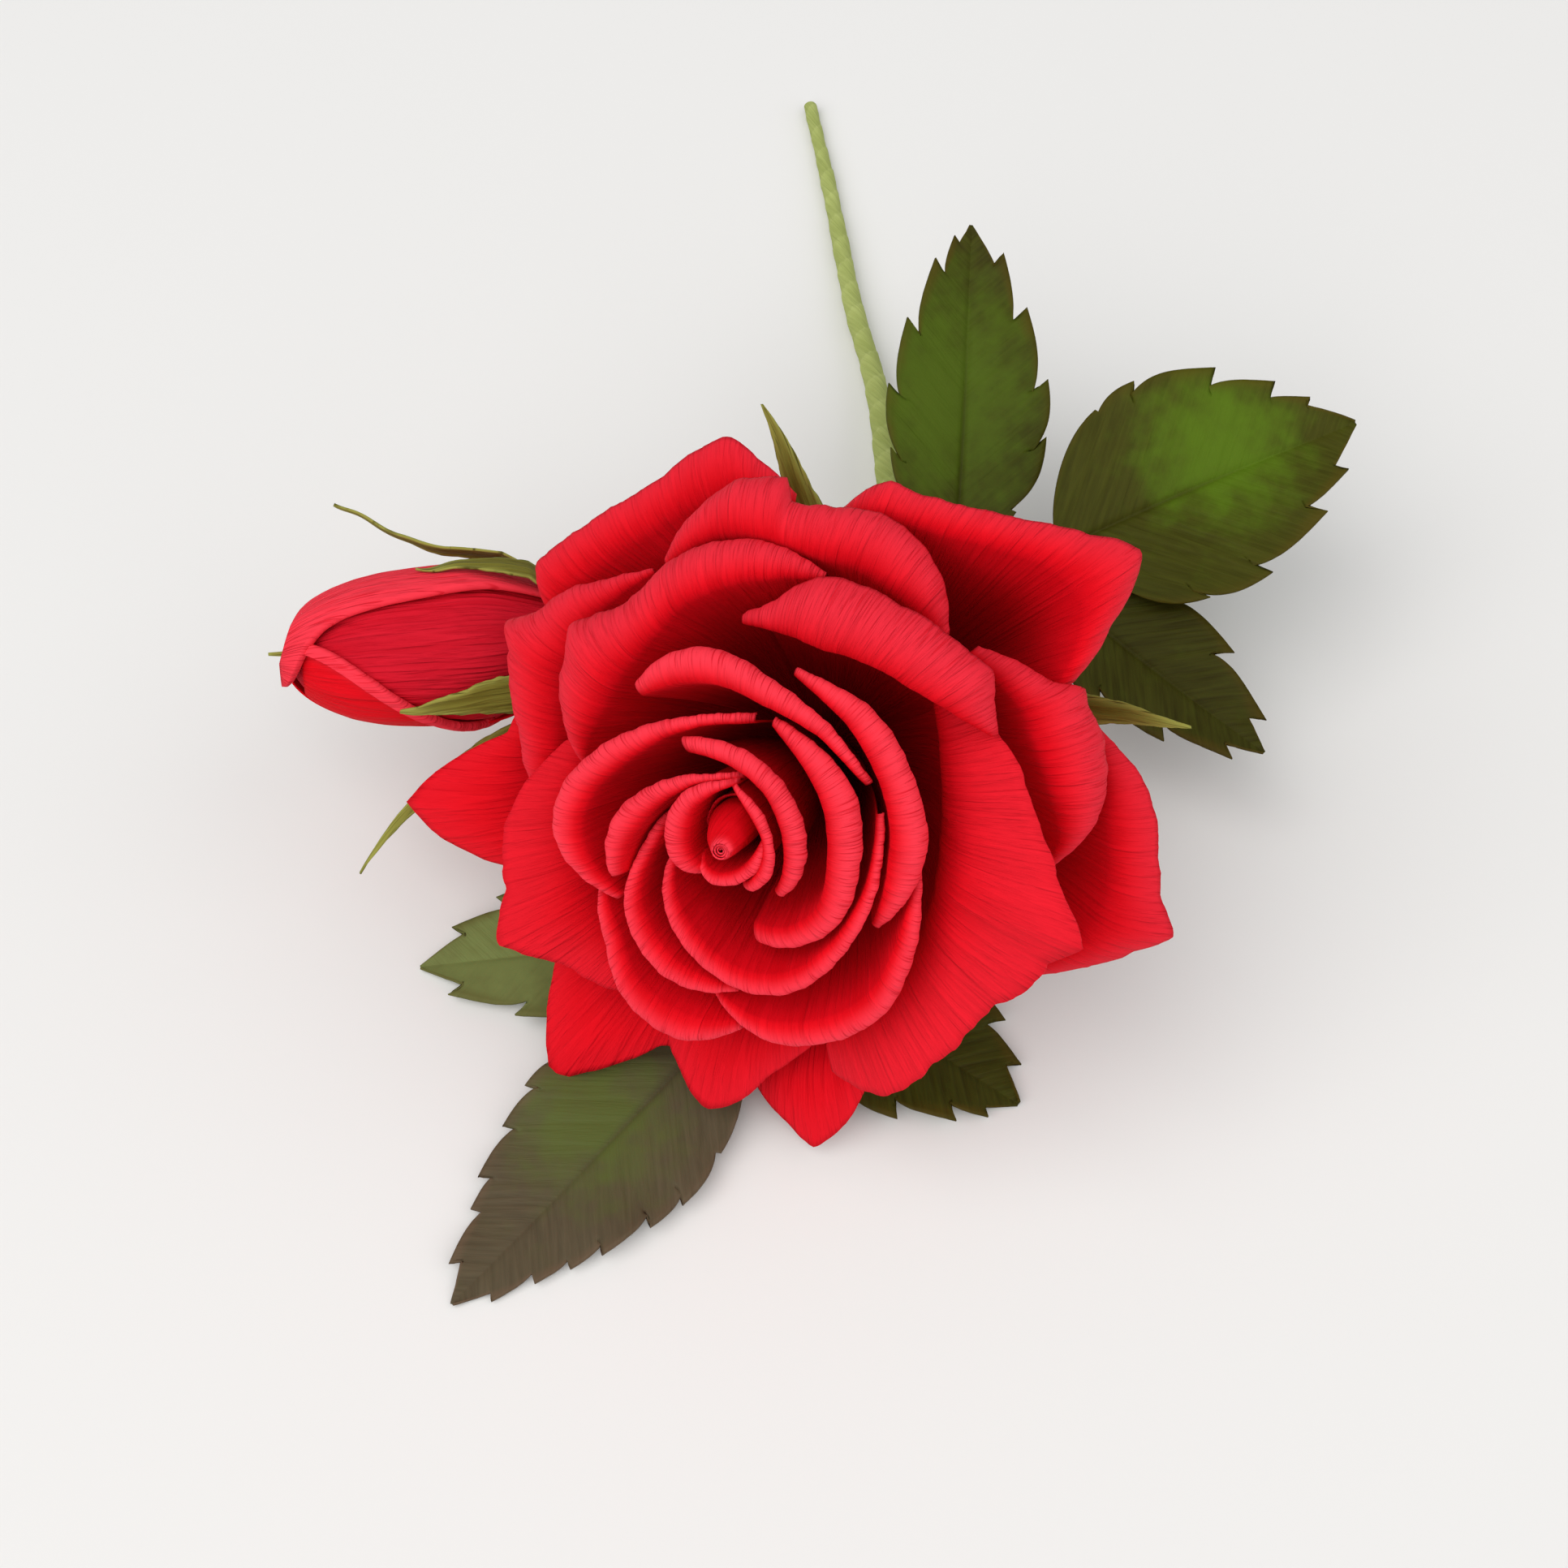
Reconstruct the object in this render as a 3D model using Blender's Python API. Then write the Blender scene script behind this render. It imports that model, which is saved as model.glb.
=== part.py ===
"""A crepe paper rose: an open bloom, a side bud and two leaf sprays on a wrapped wire stem.

Metres, +Z up. The rose lies on the plane z = 0 with its bloom facing up and forwards, its stem
running back along +Y. Petals are cut sheets glued round a cone on the end of the wire. Each one is
modelled as a flat grid bent to its cup, with its rim rolled back, and given the paper's thickness.
"""
import math
from collections import namedtuple

import bmesh
import bpy
from mathutils import Matrix, Vector

# Paper and the gaps that glue fills
PETAL_PAPER = 0.0003
LEAF_PAPER = 0.0004
SEPAL_PAPER = 0.0004
GLUE_GAP = 0.0003

# How the bloom is held: height of its base, the lift of its axis and its turn to the left
BLOOM_LIFT = 0.0385
BLOOM_ELEVATION = math.radians(39.6)
BLOOM_TURN = math.radians(21.5)

# The nest of cups: every petal follows one of a family of cups, each named by its radius at NEST_TOP
NEST_TOP = 0.040
NEST_BASE_RADIUS = 0.0056
NEST_BASE_TOP = 0.005
NEST_BASE_DROP = 0.009
NEST_DROP_SPREAD = 0.030
NEST_DROP_POWER = 0.75
NEST_STEEP = 0.80
NEST_OPEN = 0.60

# Rim of a petal: how far its corners round off, and rows of faces up its wall and round its roll
SHOULDER_DROP = 0.0035
SHOULDER_POWER = 6
WALL_ROWS = 4
WALL_ROW_POWER = 1.5
LEAN_STEP = 0.0002
COLUMN_ANGLE = 14.0
ROLL_STEP = 50.0

# Middle of the bloom
CORE_RADIUS = 0.0013
CORE_FOOT_RADIUS = 0.0017
CORE_HOLE_RADIUS = 0.0005
CORE_HOLE_DEPTH = 0.006
CORE_TOP = 0.0375

# Cups whose feet the receptacle fills, named as the petals' cups are, from the widest in
RECEPTACLE_CUPS = (0.080, 0.050, 0.030, 0.018, 0.010, 0.006, 0.0035)
RECEPTACLE_TOP_CUP = 0.0016

# Wire, stem and calyx
WIRE_RADIUS = 0.0006
WIRE_SOCKET = 0.010
STEM_END_RADIUS = 0.00125
STEM_THICK_RADIUS = 0.0024
STEM_TAPER_START = 0.35
NECK_LENGTH = 0.006
CALYX_TOP_RADIUS = 0.0062
CALYX_WAIST_RADIUS = 0.0046
CALYX_WAIST_SHARE = 0.35
CALYX_LENGTH = 0.0095
CALYX_LIP = 0.0012
STEM_ROUTE = (
    (0.0120, 0.0320, 0.0145), (0.0160, 0.0520, 0.0092), (0.0165, 0.0750, 0.0066),
    (0.0145, 0.1060, 0.0045), (0.0105, 0.1290, 0.0030), (0.0064, 0.1610, 0.0017),
    (0.0025, 0.1863, 0.00125))

# Side bud: where its foot and tip lie, its radius at five even places from foot to tip, how round
# its end is, the spacing of its layers of paper and the radius of a folded petal edge
BUD_FOOT = (-0.0390, 0.0260, 0.0360)
BUD_TIP = (-0.0787, 0.0197, 0.0398)
BUD_FACE = (0.149, -0.568, 0.810)
BUD_RADII = (0.0078, 0.0114, 0.0115, 0.0111, 0.0098)
BUD_END_POWER = 10
BUD_LAYER = 0.0008
BUD_COLUMN_ANGLE = 24.0
BUD_ROWS = 8
BUD_ROW_POWER = 0.9
BUD_FOLD_RADIUS = 0.0005
BUD_FOLD_COLUMNS = 4
BUD_FOLD_TURN_SHARE = 0.5
BUD_LEAST_FLAP = 4.0
BUD_CORE_SHARES = (0.0, 0.2, 0.45, 0.7, 0.85, 0.93)
BUD_CORE_TOP_SHARE = 0.95
BUD_SEPAL_CLEARANCE = 0.0018
BUD_SEPAL_OPENED = 0.3
BUD_SEPAL_FOOT = 0.0035
BUD_CALYX_RADIUS = 0.0062
BUD_CALYX_LENGTH = 0.0070
BUD_CALYX_WAIST = (0.0047, 0.65)
BUD_NECK_LENGTH = 0.005
BUD_STEM_RADIUS = 0.0013
BUD_STEM_ROUTE = ((-0.0215, 0.0310, 0.0315), (-0.0060, 0.0375, 0.0225), (0.0060, 0.0450, 0.0145))

# Where the side wires are bound to the main stem: from one end of the joint to the other along Y,
# and how far to the side of the main wire each one lies
JOINT_START = 0.0540
JOINT_END = 0.0650
JOINT_PAPER = 0.0004
JOINT_CLEARANCE = 0.00045
JOINT_SIDES = 14
BUD_STEM_OFFSET = (-0.0041, 0.0)
UPPER_STALK_OFFSET = (0.0037, 0.0)
LOWER_STALK_OFFSET = (0.0, -0.0037)

# Leaves: stalk and blade sizes, and how many teeth a side of a blade has
STALK_RADIUS = 0.0009
LEAF_TEETH = 5
TOOTH_DEPTH = 0.0012
TOOTH_LEAN = 0.0020
LEAF_FOOT_HALF_WIDTH = 0.0006
LEAF_STALK_SHARE = 0.07
LEAF_STALK_TAPER = 0.6
LEAF_WIDE_POWER = 0.78
LEAF_ROUND_POWER = 0.85
UPPER_STALK_ROUTE = ((0.0230, 0.0495, 0.0145), (0.0300, 0.0485, 0.0210), (0.0385, 0.0492, 0.0264))
LOWER_STALK_ROUTE = ((0.0110, 0.0380, 0.0048), (0.0040, 0.0140, 0.0048),
                     (-0.0042, -0.0100, 0.0048), (-0.0087, -0.0206, 0.0043))

# Sepals behind the bloom
SEPAL_HALF_WIDTH = 0.0046
SEPAL_TIP_HALF_WIDTH = 0.0004
SEPAL_CHANNEL = 0.0010
SEPAL_FOOT_SHARE = 0.12
SEPAL_WIDTH_POWER = 0.6
SEPAL_SWING_POWER = 1.9
SEPAL_RISE_POWER = 1.35

Petal = namedtuple("Petal", "name start end wall roll height turn corner", defaults=(None,))
Sepal = namedtuple("Sepal", "name start swing reach height")
BudPetal = namedtuple("BudPetal", "name layer foot_start foot_end tip_start tip_end length flap")
BudSepal = namedtuple("BudSepal", "name start swing length lift half_width")
Leaf = namedtuple("Leaf", "name foot tip face half_width fold bow")

# Petals from the middle out: first and last angle round the axis in degrees, radius of the wall's top
# and width of the rolled rim at five even places between them, height of the wall's top, angle of
# the roll, and for a creased corner its angle, how far it stands out and its half width in degrees
PETALS = (
    Petal("heart_petal_1", -5, 205, (0.0029, 0.0043, 0.0056, 0.0045, 0.0029),
          (0.0002, 0.0003, 0.0004, 0.0003, 0.0002), 0.0375, 80),
    Petal("heart_petal_2", 205, 372, (0.0038, 0.0038, 0.0038, 0.0039, 0.0041),
          (0.0007, 0.0014, 0.0013, 0.0014, 0.0008), 0.0382, 190),
    Petal("heart_petal_3", 84, 232, (0.0075, 0.0067, 0.0063, 0.0059, 0.0056),
          (0.0007, 0.0018, 0.0025, 0.0019, 0.0009), 0.0382, 200),
    Petal("heart_petal_4", 285, 440, (0.0064, 0.0060, 0.0058, 0.0058, 0.0061),
          (0.0018, 0.0022, 0.0016, 0.0014, 0.0006), 0.0380, 200),
    Petal("inner_petal_1", 82, 202, (0.0090, 0.0092, 0.0101, 0.0127, 0.0173),
          (0.0007, 0.0010, 0.0026, 0.0042, 0.0028), 0.0370, 200),
    Petal("inner_petal_2", 308, 480, (0.0092, 0.0081, 0.0082, 0.0104, 0.0134),
          (0.0011, 0.0029, 0.0030, 0.0028, 0.0022), 0.0370, 200),
    Petal("inner_petal_3", 280, 433, (0.0130, 0.0149, 0.0138, 0.0146, 0.0166),
          (0.0030, 0.0035, 0.0045, 0.0042, 0.0012), 0.0355, 200),
    Petal("inner_petal_4", 195, 372, (0.0085, 0.0142, 0.0202, 0.0195, 0.0198),
          (0.0011, 0.0031, 0.0032, 0.0019, 0.0009), 0.0345, 200),
    Petal("inner_petal_5", 165, 268, (0.0094, 0.0118, 0.0174, 0.0208, 0.0231),
          (0.0010, 0.0022, 0.0032, 0.0035, 0.0012), 0.0340, 200),
    Petal("middle_petal_1", 83, 212, (0.0160, 0.0166, 0.0183, 0.0224, 0.0206),
          (0.0012, 0.0016, 0.0040, 0.0048, 0.0016), 0.0345, 200),
    Petal("middle_petal_2", 25, 127, (0.0198, 0.0199, 0.0199, 0.0226, 0.0234),
          (0.0009, 0.0019, 0.0034, 0.0047, 0.0020), 0.0350, 200),
    Petal("middle_petal_3", 327, 432, (0.0223, 0.0220, 0.0224, 0.0232, 0.0240),
          (0.0010, 0.0044, 0.0045, 0.0037, 0.0009), 0.0335, 190),
    Petal("middle_petal_4", 258, 350, (0.0250, 0.0284, 0.0292, 0.0270, 0.0272),
          (0.0010, 0.0036, 0.0038, 0.0030, 0.0009), 0.0315, 180),
    Petal("middle_petal_5", 206, 268, (0.0240, 0.0248, 0.0286, 0.0296, 0.0296),
          (0.0012, 0.0032, 0.0044, 0.0045, 0.0016), 0.0310, 180),
    Petal("large_petal_1", 22, 92, (0.0282, 0.0290, 0.0293, 0.0290, 0.0288),
          (0.0085, 0.0113, 0.0096, 0.0084, 0.0024), 0.0300, 165),
    Petal("large_petal_2", 74, 166, (0.0384, 0.0345, 0.0298, 0.0254, 0.0272),
          (0.0010, 0.0060, 0.0070, 0.0086, 0.0012), 0.0285, 160, (134, 0.0025, 12)),
    Petal("large_petal_3", 284, 395, (0.0352, 0.0318, 0.0288, 0.0284, 0.0295),
          (0.0080, 0.0098, 0.0168, 0.0130, 0.0030), 0.0200, 70, (346, 0.0045, 14)),
    Petal("large_petal_4", 160, 238, (0.0278, 0.0275, 0.0286, 0.0310, 0.0330),
          (0.0015, 0.0090, 0.0125, 0.0095, 0.0040), 0.0200, 65, (211, 0.0050, 14)),
    Petal("large_petal_5", 46, 112, (0.0410, 0.0396, 0.0400, 0.0404, 0.0382),
          (0.0014, 0.0068, 0.0065, 0.0066, 0.0018), 0.0240, 150, (87, 0.0025, 12)),
    Petal("large_petal_6", -2, 38, (0.0444, 0.0416, 0.0404, 0.0416, 0.0420),
          (0.0012, 0.0070, 0.0086, 0.0065, 0.0014), 0.0210, 150, (25, 0.0020, 10)),
    Petal("large_petal_7", 118, 185, (0.0380, 0.0368, 0.0345, 0.0320, 0.0335),
          (0.0012, 0.0055, 0.0090, 0.0065, 0.0014), 0.0200, 150, (148, 0.0025, 12)),
    Petal("large_petal_8", 241, 280, (0.0370, 0.0375, 0.0375, 0.0370, 0.0365),
          (0.0015, 0.0100, 0.0120, 0.0060, 0.0015), 0.0140, 60, (257, 0.0015, 10)),
    Petal("outer_petal_1", 18, 82, (0.0480, 0.0490, 0.0490, 0.0450, 0.0440),
          (0.0020, 0.0085, 0.0080, 0.0060, 0.0015), 0.0140, 110, (41, 0.0060, 13)),
    Petal("outer_petal_2", 84, 152, (0.0430, 0.0440, 0.0435, 0.0425, 0.0415),
          (0.0025, 0.0080, 0.0065, 0.0060, 0.0020), 0.0130, 100, (98, 0.0025, 12)),
    Petal("outer_petal_3", 160, 206, (0.0400, 0.0410, 0.0420, 0.0420, 0.0410),
          (0.0020, 0.0065, 0.0130, 0.0090, 0.0020), 0.0100, 55, (186, 0.0050, 10)),
    Petal("outer_petal_4", 208, 253, (0.0410, 0.0420, 0.0430, 0.0425, 0.0420),
          (0.0020, 0.0065, 0.0130, 0.0075, 0.0020), 0.0090, 55, (233, 0.0045, 10)),
    Petal("outer_petal_5", 256, 304, (0.0415, 0.0425, 0.0430, 0.0410, 0.0400),
          (0.0015, 0.0070, 0.0085, 0.0035, 0.0020), 0.0090, 55, (274, 0.0040, 10)),
    Petal("outer_petal_6", 320, 375, (0.0420, 0.0435, 0.0475, 0.0480, 0.0460),
          (0.0015, 0.0040, 0.0080, 0.0065, 0.0025), 0.0130, 90, (345, 0.0055, 11)),
)

# Sepals: angle where one leaves the calyx, how far it swings round, its reach and its tip's height
SEPALS = (
    Sepal("sepal_1", 88, 8, 0.056, 0.002),
    Sepal("sepal_2", 20, -8, 0.060, 0.004),
    Sepal("sepal_3", 308, 10, 0.042, -0.006),
    Sepal("sepal_4", 236, -8, 0.042, -0.006),
    Sepal("sepal_5", 172, 24, 0.0735, 0.008),
)

# Bud petals: layer, the angles of the hidden edge and of the edge that shows, at the foot and at the
# tip, share of the bud's length, and how far the edge is folded back at five places along it
BUD_PETALS = (
    BudPetal("bud_petal_1", 1, -125, 95, -125, 95, 0.985, None),
    BudPetal("bud_petal_2", 2, 268, 70, 250, 44, 0.990, (20, 34, 38, 38, 30)),
    BudPetal("bud_petal_3", 3, -210, -110, -200, 14, 0.980, (0, 0, 10, 48, 84)),
)

# Bud sepals: angle at the foot, swing, length, how far the tip stands off the bud and half width
BUD_SEPALS = (
    BudSepal("bud_sepal_1", 108, -10, 0.0365, 0.0115, 0.0022),
    BudSepal("bud_sepal_2", 56, 12, 0.0248, -0.0004, 0.0024),
    BudSepal("bud_sepal_3", -40, -12, 0.0235, 0.0004, 0.0027),
    BudSepal("bud_sepal_4", 178, -4, 0.0455, 0.0010, 0.0021),
    BudSepal("bud_sepal_5", 4, -6, 0.0110, 0.0010, 0.0014),
)

# Leaflets: foot and tip of the blade, the way its face looks, half width, fold in degrees and bow
UPPER_LEAVES = (
    Leaf("upper_leaflet_1", (0.0262, 0.0508, 0.0184), (0.0297, 0.1083, 0.0450), (0.15, -0.45, 1.0),
         0.0133, 16, 0.0015),
    Leaf("upper_leaflet_2", (0.0392, 0.0494, 0.0269), (0.0936, 0.0712, 0.0360), (-0.05, -0.35, 1.0),
         0.0190, 14, 0.0020),
    Leaf("upper_leaflet_3", (0.0388, 0.0476, 0.0260), (0.0749, 0.0153, 0.0200), (0.1, -0.2, 1.0),
         0.0112, 12, -0.0010),
)
LOWER_LEAVES = (
    Leaf("lower_leaflet_1", (-0.0090, -0.0210, 0.0042), (-0.0527, -0.0706, 0.0006), (0.0, 0.0, 1.0),
         0.0150, 6, -0.0004),
    Leaf("lower_leaflet_2", (-0.0060, -0.0090, 0.0048), (-0.0620, -0.0138, 0.0008), (0.0, 0.0, 1.0),
         0.0098, 8, 0.0004),
    Leaf("lower_leaflet_3", (-0.0034, -0.0124, 0.0048), (0.0339, -0.0380, 0.0006), (0.0, 0.0, 1.0),
         0.0150, 8, -0.0004),
)


def clear_scene():
    for thing in list(bpy.data.objects):
        bpy.data.objects.remove(thing, do_unlink=True)


def paper(name, colour, roughness):
    """A matte dyed paper."""
    material = bpy.data.materials.new(name)
    material.use_nodes = True
    shader = material.node_tree.nodes["Principled BSDF"]
    shader.inputs["Base Color"].default_value = (*colour, 1.0)
    shader.inputs["Roughness"].default_value = roughness
    shader.inputs["Metallic"].default_value = 0.0
    return material


def steel(name):
    """Bright floral wire."""
    material = paper(name, (0.55, 0.55, 0.53), 0.35)
    material.node_tree.nodes["Principled BSDF"].inputs["Metallic"].default_value = 1.0
    return material


def add_object(name, bm, material, parent):
    """Turn a bmesh into a named, smooth shaded object."""
    bmesh.ops.recalc_face_normals(bm, faces=bm.faces)
    mesh = bpy.data.meshes.new(name)
    bm.to_mesh(mesh)
    bm.free()
    mesh.materials.append(material)
    mesh.shade_smooth()
    mesh.set_sharp_from_angle(angle=math.radians(40))
    piece = bpy.data.objects.new(name, mesh)
    bpy.context.collection.objects.link(piece)
    piece.parent = parent
    return piece


def sheet(name, columns, rows, place, thickness, material, parent):
    """A flat grid bent by place(across, along) and thickened to paper."""
    bm = bmesh.new()
    bmesh.ops.create_grid(bm, x_segments=columns, y_segments=rows, size=0.5)
    for vert in bm.verts:
        vert.co = place(2.0 * vert.co.x, vert.co.y + 0.5)
    piece = add_object(name, bm, material, parent)
    solid = piece.modifiers.new("Paper", "SOLIDIFY")
    solid.thickness = thickness
    solid.offset = 0.0
    solid.use_even_offset = True
    return piece


def turned(name, profile, sides, material, parent):
    """Spin a closed outline of (radius, height) points round the parent's Z axis."""
    bm = bmesh.new()
    ring = [bm.verts.new((radius, 0.0, height)) for radius, height in profile]
    edges = [bm.edges.new(pair) for pair in zip(ring, ring[1:])]
    bmesh.ops.spin(bm, geom=ring + edges, cent=(0, 0, 0), axis=(0, 0, 1),
                   angle=math.tau, steps=sides, use_merge=True)
    bmesh.ops.remove_doubles(bm, verts=bm.verts, dist=0.000001)
    return add_object(name, bm, material, parent)


def smooth_path(points, steps):
    """A smooth curve through the points, as a list of places."""
    padded = [2 * points[0] - points[1]] + list(points) + [2 * points[-1] - points[-2]]
    path = []
    for before, first, last, after in zip(padded, padded[1:], padded[2:], padded[3:]):
        for step in range(steps):
            t = step / steps
            path.append(0.5 * (2 * first + (last - before) * t
                               + (2 * before - 5 * first + 4 * last - after) * t ** 2
                               + (3 * first - before - 3 * last + after) * t ** 3))
    path.append(points[-1])
    return path


def swept(name, path, radius, sides, material, parent, bore=None):
    """A round rod along a path, with radius(share of length), hollow if a bore is given."""
    bm = bmesh.new()
    side = Vector((1, 0, 0))
    outer, inner = [], []
    for index, place in enumerate(path):
        ahead = path[min(index + 1, len(path) - 1)] - path[max(index - 1, 0)]
        ahead.normalize()
        side = (side - ahead * side.dot(ahead)).normalized()
        up = ahead.cross(side)
        for rings, size in ((outer, radius(index / (len(path) - 1))), (inner, bore)):
            if size is None:
                continue
            turns = [math.tau * step / sides for step in range(sides)]
            rings.append([bm.verts.new(place + size * (side * math.cos(turn) + up * math.sin(turn)))
                          for turn in turns])
    for rings in (outer, inner):
        for low, high in zip(rings, rings[1:]):
            for step in range(sides):
                after = (step + 1) % sides
                bm.faces.new((low[step], low[after], high[after], high[step]))
    if inner:
        for out_ring, in_ring in ((outer[0], inner[0]), (outer[-1], inner[-1])):
            for step in range(sides):
                after = (step + 1) % sides
                bm.faces.new((out_ring[step], out_ring[after], in_ring[after], in_ring[step]))
    else:
        bm.faces.new(outer[0])
        bm.faces.new(outer[-1])
    return add_object(name, bm, material, parent)


def five_point(values, across):
    """Read five evenly spaced values as a smooth curve at across, from -1 to 1."""
    place = min(max((across + 1.0) * 2.0, 0.0), 3.999999)
    index = int(place)
    t = place - index
    first, last = values[index], values[index + 1]
    before = values[index - 1] if index > 0 else 2 * first - last
    after = values[index + 2] if index < 3 else 2 * last - first
    slope_in, slope_out = (last - before) / 2, (after - first) / 2
    return ((2 * t ** 3 - 3 * t ** 2 + 1) * first + (t ** 3 - 2 * t ** 2 + t) * slope_in
            + (3 * t ** 2 - 2 * t ** 3) * last + (t ** 3 - t ** 2) * slope_out)


def base_radius(spread):
    return NEST_BASE_RADIUS * (1.0 - math.exp(-spread / NEST_BASE_RADIUS))


def base_height(spread):
    return NEST_BASE_TOP - NEST_BASE_DROP * (spread / NEST_DROP_SPREAD) ** NEST_DROP_POWER


def cup_power(spread):
    """How a cup opens: the inner cups stand steep, the outer ones flare from the base."""
    return NEST_STEEP + (NEST_OPEN - NEST_STEEP) * min(spread / NEST_DROP_SPREAD, 1.0)


def cup_radius(spread, height):
    """Radius of the cup called spread, at a height above the bloom's base."""
    low = base_height(spread)
    share = max(height - low, 0.0) / (NEST_TOP - low)
    return base_radius(spread) + (spread - base_radius(spread)) * share ** cup_power(spread)


def cup_through(radius, height):
    """The cup that passes through a radius and height, found by halving."""
    low, high = 0.0005, 0.200
    for _ in range(40):
        middle = (low + high) / 2
        if cup_radius(middle, height) < radius:
            low = middle
        else:
            high = middle
    return (low + high) / 2


def corner_reach(petal, angle):
    """How far a creased corner stands out from the rim at an angle."""
    if petal.corner is None:
        return 0.0
    middle, reach, half_width = petal.corner
    return reach * max(0.0, 1.0 - abs(angle - middle) / half_width)


def petal_sections(petal, across):
    """The cup, rim and roll of a petal at one place across it."""
    angle = petal.start + (petal.end - petal.start) * (across + 1.0) / 2.0
    wall = five_point(petal.wall, across)
    roll = five_point(petal.roll, across) + corner_reach(petal, angle)
    height = petal.height - SHOULDER_DROP * abs(across) ** SHOULDER_POWER
    spread = cup_through(wall, height)
    lean = math.atan2(cup_radius(spread, height) - cup_radius(spread, height - LEAN_STEP), LEAN_STEP)
    furthest = min(lean + math.radians(petal.turn), math.pi)
    bend = roll / (math.cos(lean) - math.cos(furthest))
    return math.radians(angle), height, spread, lean, bend


def petal_point(petal, across, along, wall_share):
    """A place on a petal, from its foot (along 0) up its wall and round its rolled rim (along 1)."""
    angle, height, spread, lean, bend = petal_sections(petal, across)
    if along <= wall_share:
        low = base_height(spread)
        level = low + (height - low) * (along / wall_share) ** WALL_ROW_POWER
        radius = cup_radius(spread, level)
    else:
        turned_by = math.radians(petal.turn) * (along - wall_share) / (1.0 - wall_share)
        radius = cup_radius(spread, height) + bend * (math.cos(lean) - math.cos(lean + turned_by))
        level = height + bend * (math.sin(lean + turned_by) - math.sin(lean))
    return Vector((radius * math.cos(angle), radius * math.sin(angle), level))


def towards_corner(petal, across, columns):
    """Shift the columns of a petal's grid so that one of them runs to its creased corner."""
    if petal.corner is None:
        return across
    corner = 2.0 * (petal.corner[0] - petal.start) / (petal.end - petal.start) - 1.0
    column = 2.0 * round((corner + 1.0) / 2.0 * columns) / columns - 1.0
    if across <= column:
        return -1.0 + (across + 1.0) * (corner + 1.0) / (column + 1.0)
    return 1.0 - (1.0 - across) * (1.0 - corner) / (1.0 - column)


def make_petal(petal, material, bloom):
    """One crepe petal, cupped, with its rim rolled back."""
    columns = max(4, round((petal.end - petal.start) / COLUMN_ANGLE))
    roll_rows = max(2, round(petal.turn / ROLL_STEP))
    rows = WALL_ROWS + roll_rows
    wall_share = WALL_ROWS / rows

    def place(across, along):
        return petal_point(petal, towards_corner(petal, across, columns), along, wall_share)

    return sheet(petal.name, columns, rows, place, PETAL_PAPER, material, bloom)


def make_core(material, bloom):
    """A narrow strip rolled tight, with a small hole in its end, standing on the receptacle."""
    foot = NEST_BASE_TOP - GLUE_GAP
    profile = ((0.0, foot), (CORE_FOOT_RADIUS, foot), (CORE_RADIUS, CORE_TOP),
               (CORE_HOLE_RADIUS, CORE_TOP), (CORE_HOLE_RADIUS, CORE_TOP - CORE_HOLE_DEPTH),
               (0.0, CORE_TOP - CORE_HOLE_DEPTH))
    return turned("core_roll", profile, 12, material, bloom)


def make_receptacle(material, bloom, foot):
    """The cone of paper and glue on the wire, inside the feet of the petals."""
    bore = WIRE_RADIUS + GLUE_GAP
    socket_end = foot + WIRE_SOCKET + GLUE_GAP
    profile = [(0.0, socket_end), (bore, socket_end), (bore, foot)]
    clearance = PETAL_PAPER / 2 + GLUE_GAP
    profile.append((base_radius(RECEPTACLE_CUPS[0]) - clearance, foot))
    for spread in RECEPTACLE_CUPS[1:]:
        profile.append((base_radius(spread) - clearance, base_height(spread)))
    top = NEST_BASE_TOP - 2 * GLUE_GAP
    profile.append((base_radius(RECEPTACLE_TOP_CUP) - clearance / 2, top))
    profile.append((0.0, top))
    return turned("receptacle", profile, 16, material, bloom)


def make_calyx(material, bloom, top):
    """The green paper cup that covers the feet of the outer petals."""
    bore = WIRE_RADIUS + GLUE_GAP
    low = top - CALYX_LENGTH
    profile = ((bore, low), (STEM_THICK_RADIUS, low),
               (CALYX_WAIST_RADIUS, low + CALYX_WAIST_SHARE * CALYX_LENGTH),
               (CALYX_TOP_RADIUS, top - CALYX_LIP), (CALYX_TOP_RADIUS, top), (bore, top), (bore, low))
    return turned("calyx", profile, 16, material, bloom)


def sepal_swell(along):
    """How wide a sepal is along its length, against its widest place."""
    return math.sin(math.pi * (SEPAL_FOOT_SHARE + (1.0 - SEPAL_FOOT_SHARE) * along) ** SEPAL_WIDTH_POWER)


def make_sepal(sepal, material, bloom, foot_height):
    """A long narrow leaf folded along its middle, spreading from the calyx under the petals."""
    foot = CALYX_TOP_RADIUS + GLUE_GAP

    def place(across, along):
        radius = foot + (sepal.reach - foot) * along
        angle = math.radians(sepal.start + sepal.swing * along ** SEPAL_SWING_POWER)
        level = foot_height + (sepal.height - foot_height) * along ** SEPAL_RISE_POWER
        swell = sepal_swell(along)
        half = SEPAL_TIP_HALF_WIDTH + (SEPAL_HALF_WIDTH - SEPAL_TIP_HALF_WIDTH) * swell
        outward = Vector((math.cos(angle), math.sin(angle), 0.0))
        aside = Vector((-math.sin(angle), math.cos(angle), 0.0))
        dip = SEPAL_CHANNEL * across * across * swell
        return outward * radius + aside * (half * across) + Vector((0, 0, level - dip))

    return sheet(sepal.name, 2, 7, place, SEPAL_PAPER, material, bloom)


def stem_path(base, axis, foot, calyx_foot):
    """The stem's middle line, from the wire's top in the receptacle to its cut end."""
    top = base + axis * (foot + WIRE_SOCKET)
    neck = base + axis * calyx_foot
    bend = base + axis * (calyx_foot - NECK_LENGTH)
    route = smooth_path([neck, bend] + [Vector(point) for point in STEM_ROUTE], 3)
    return [top, base + axis * foot] + route


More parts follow.
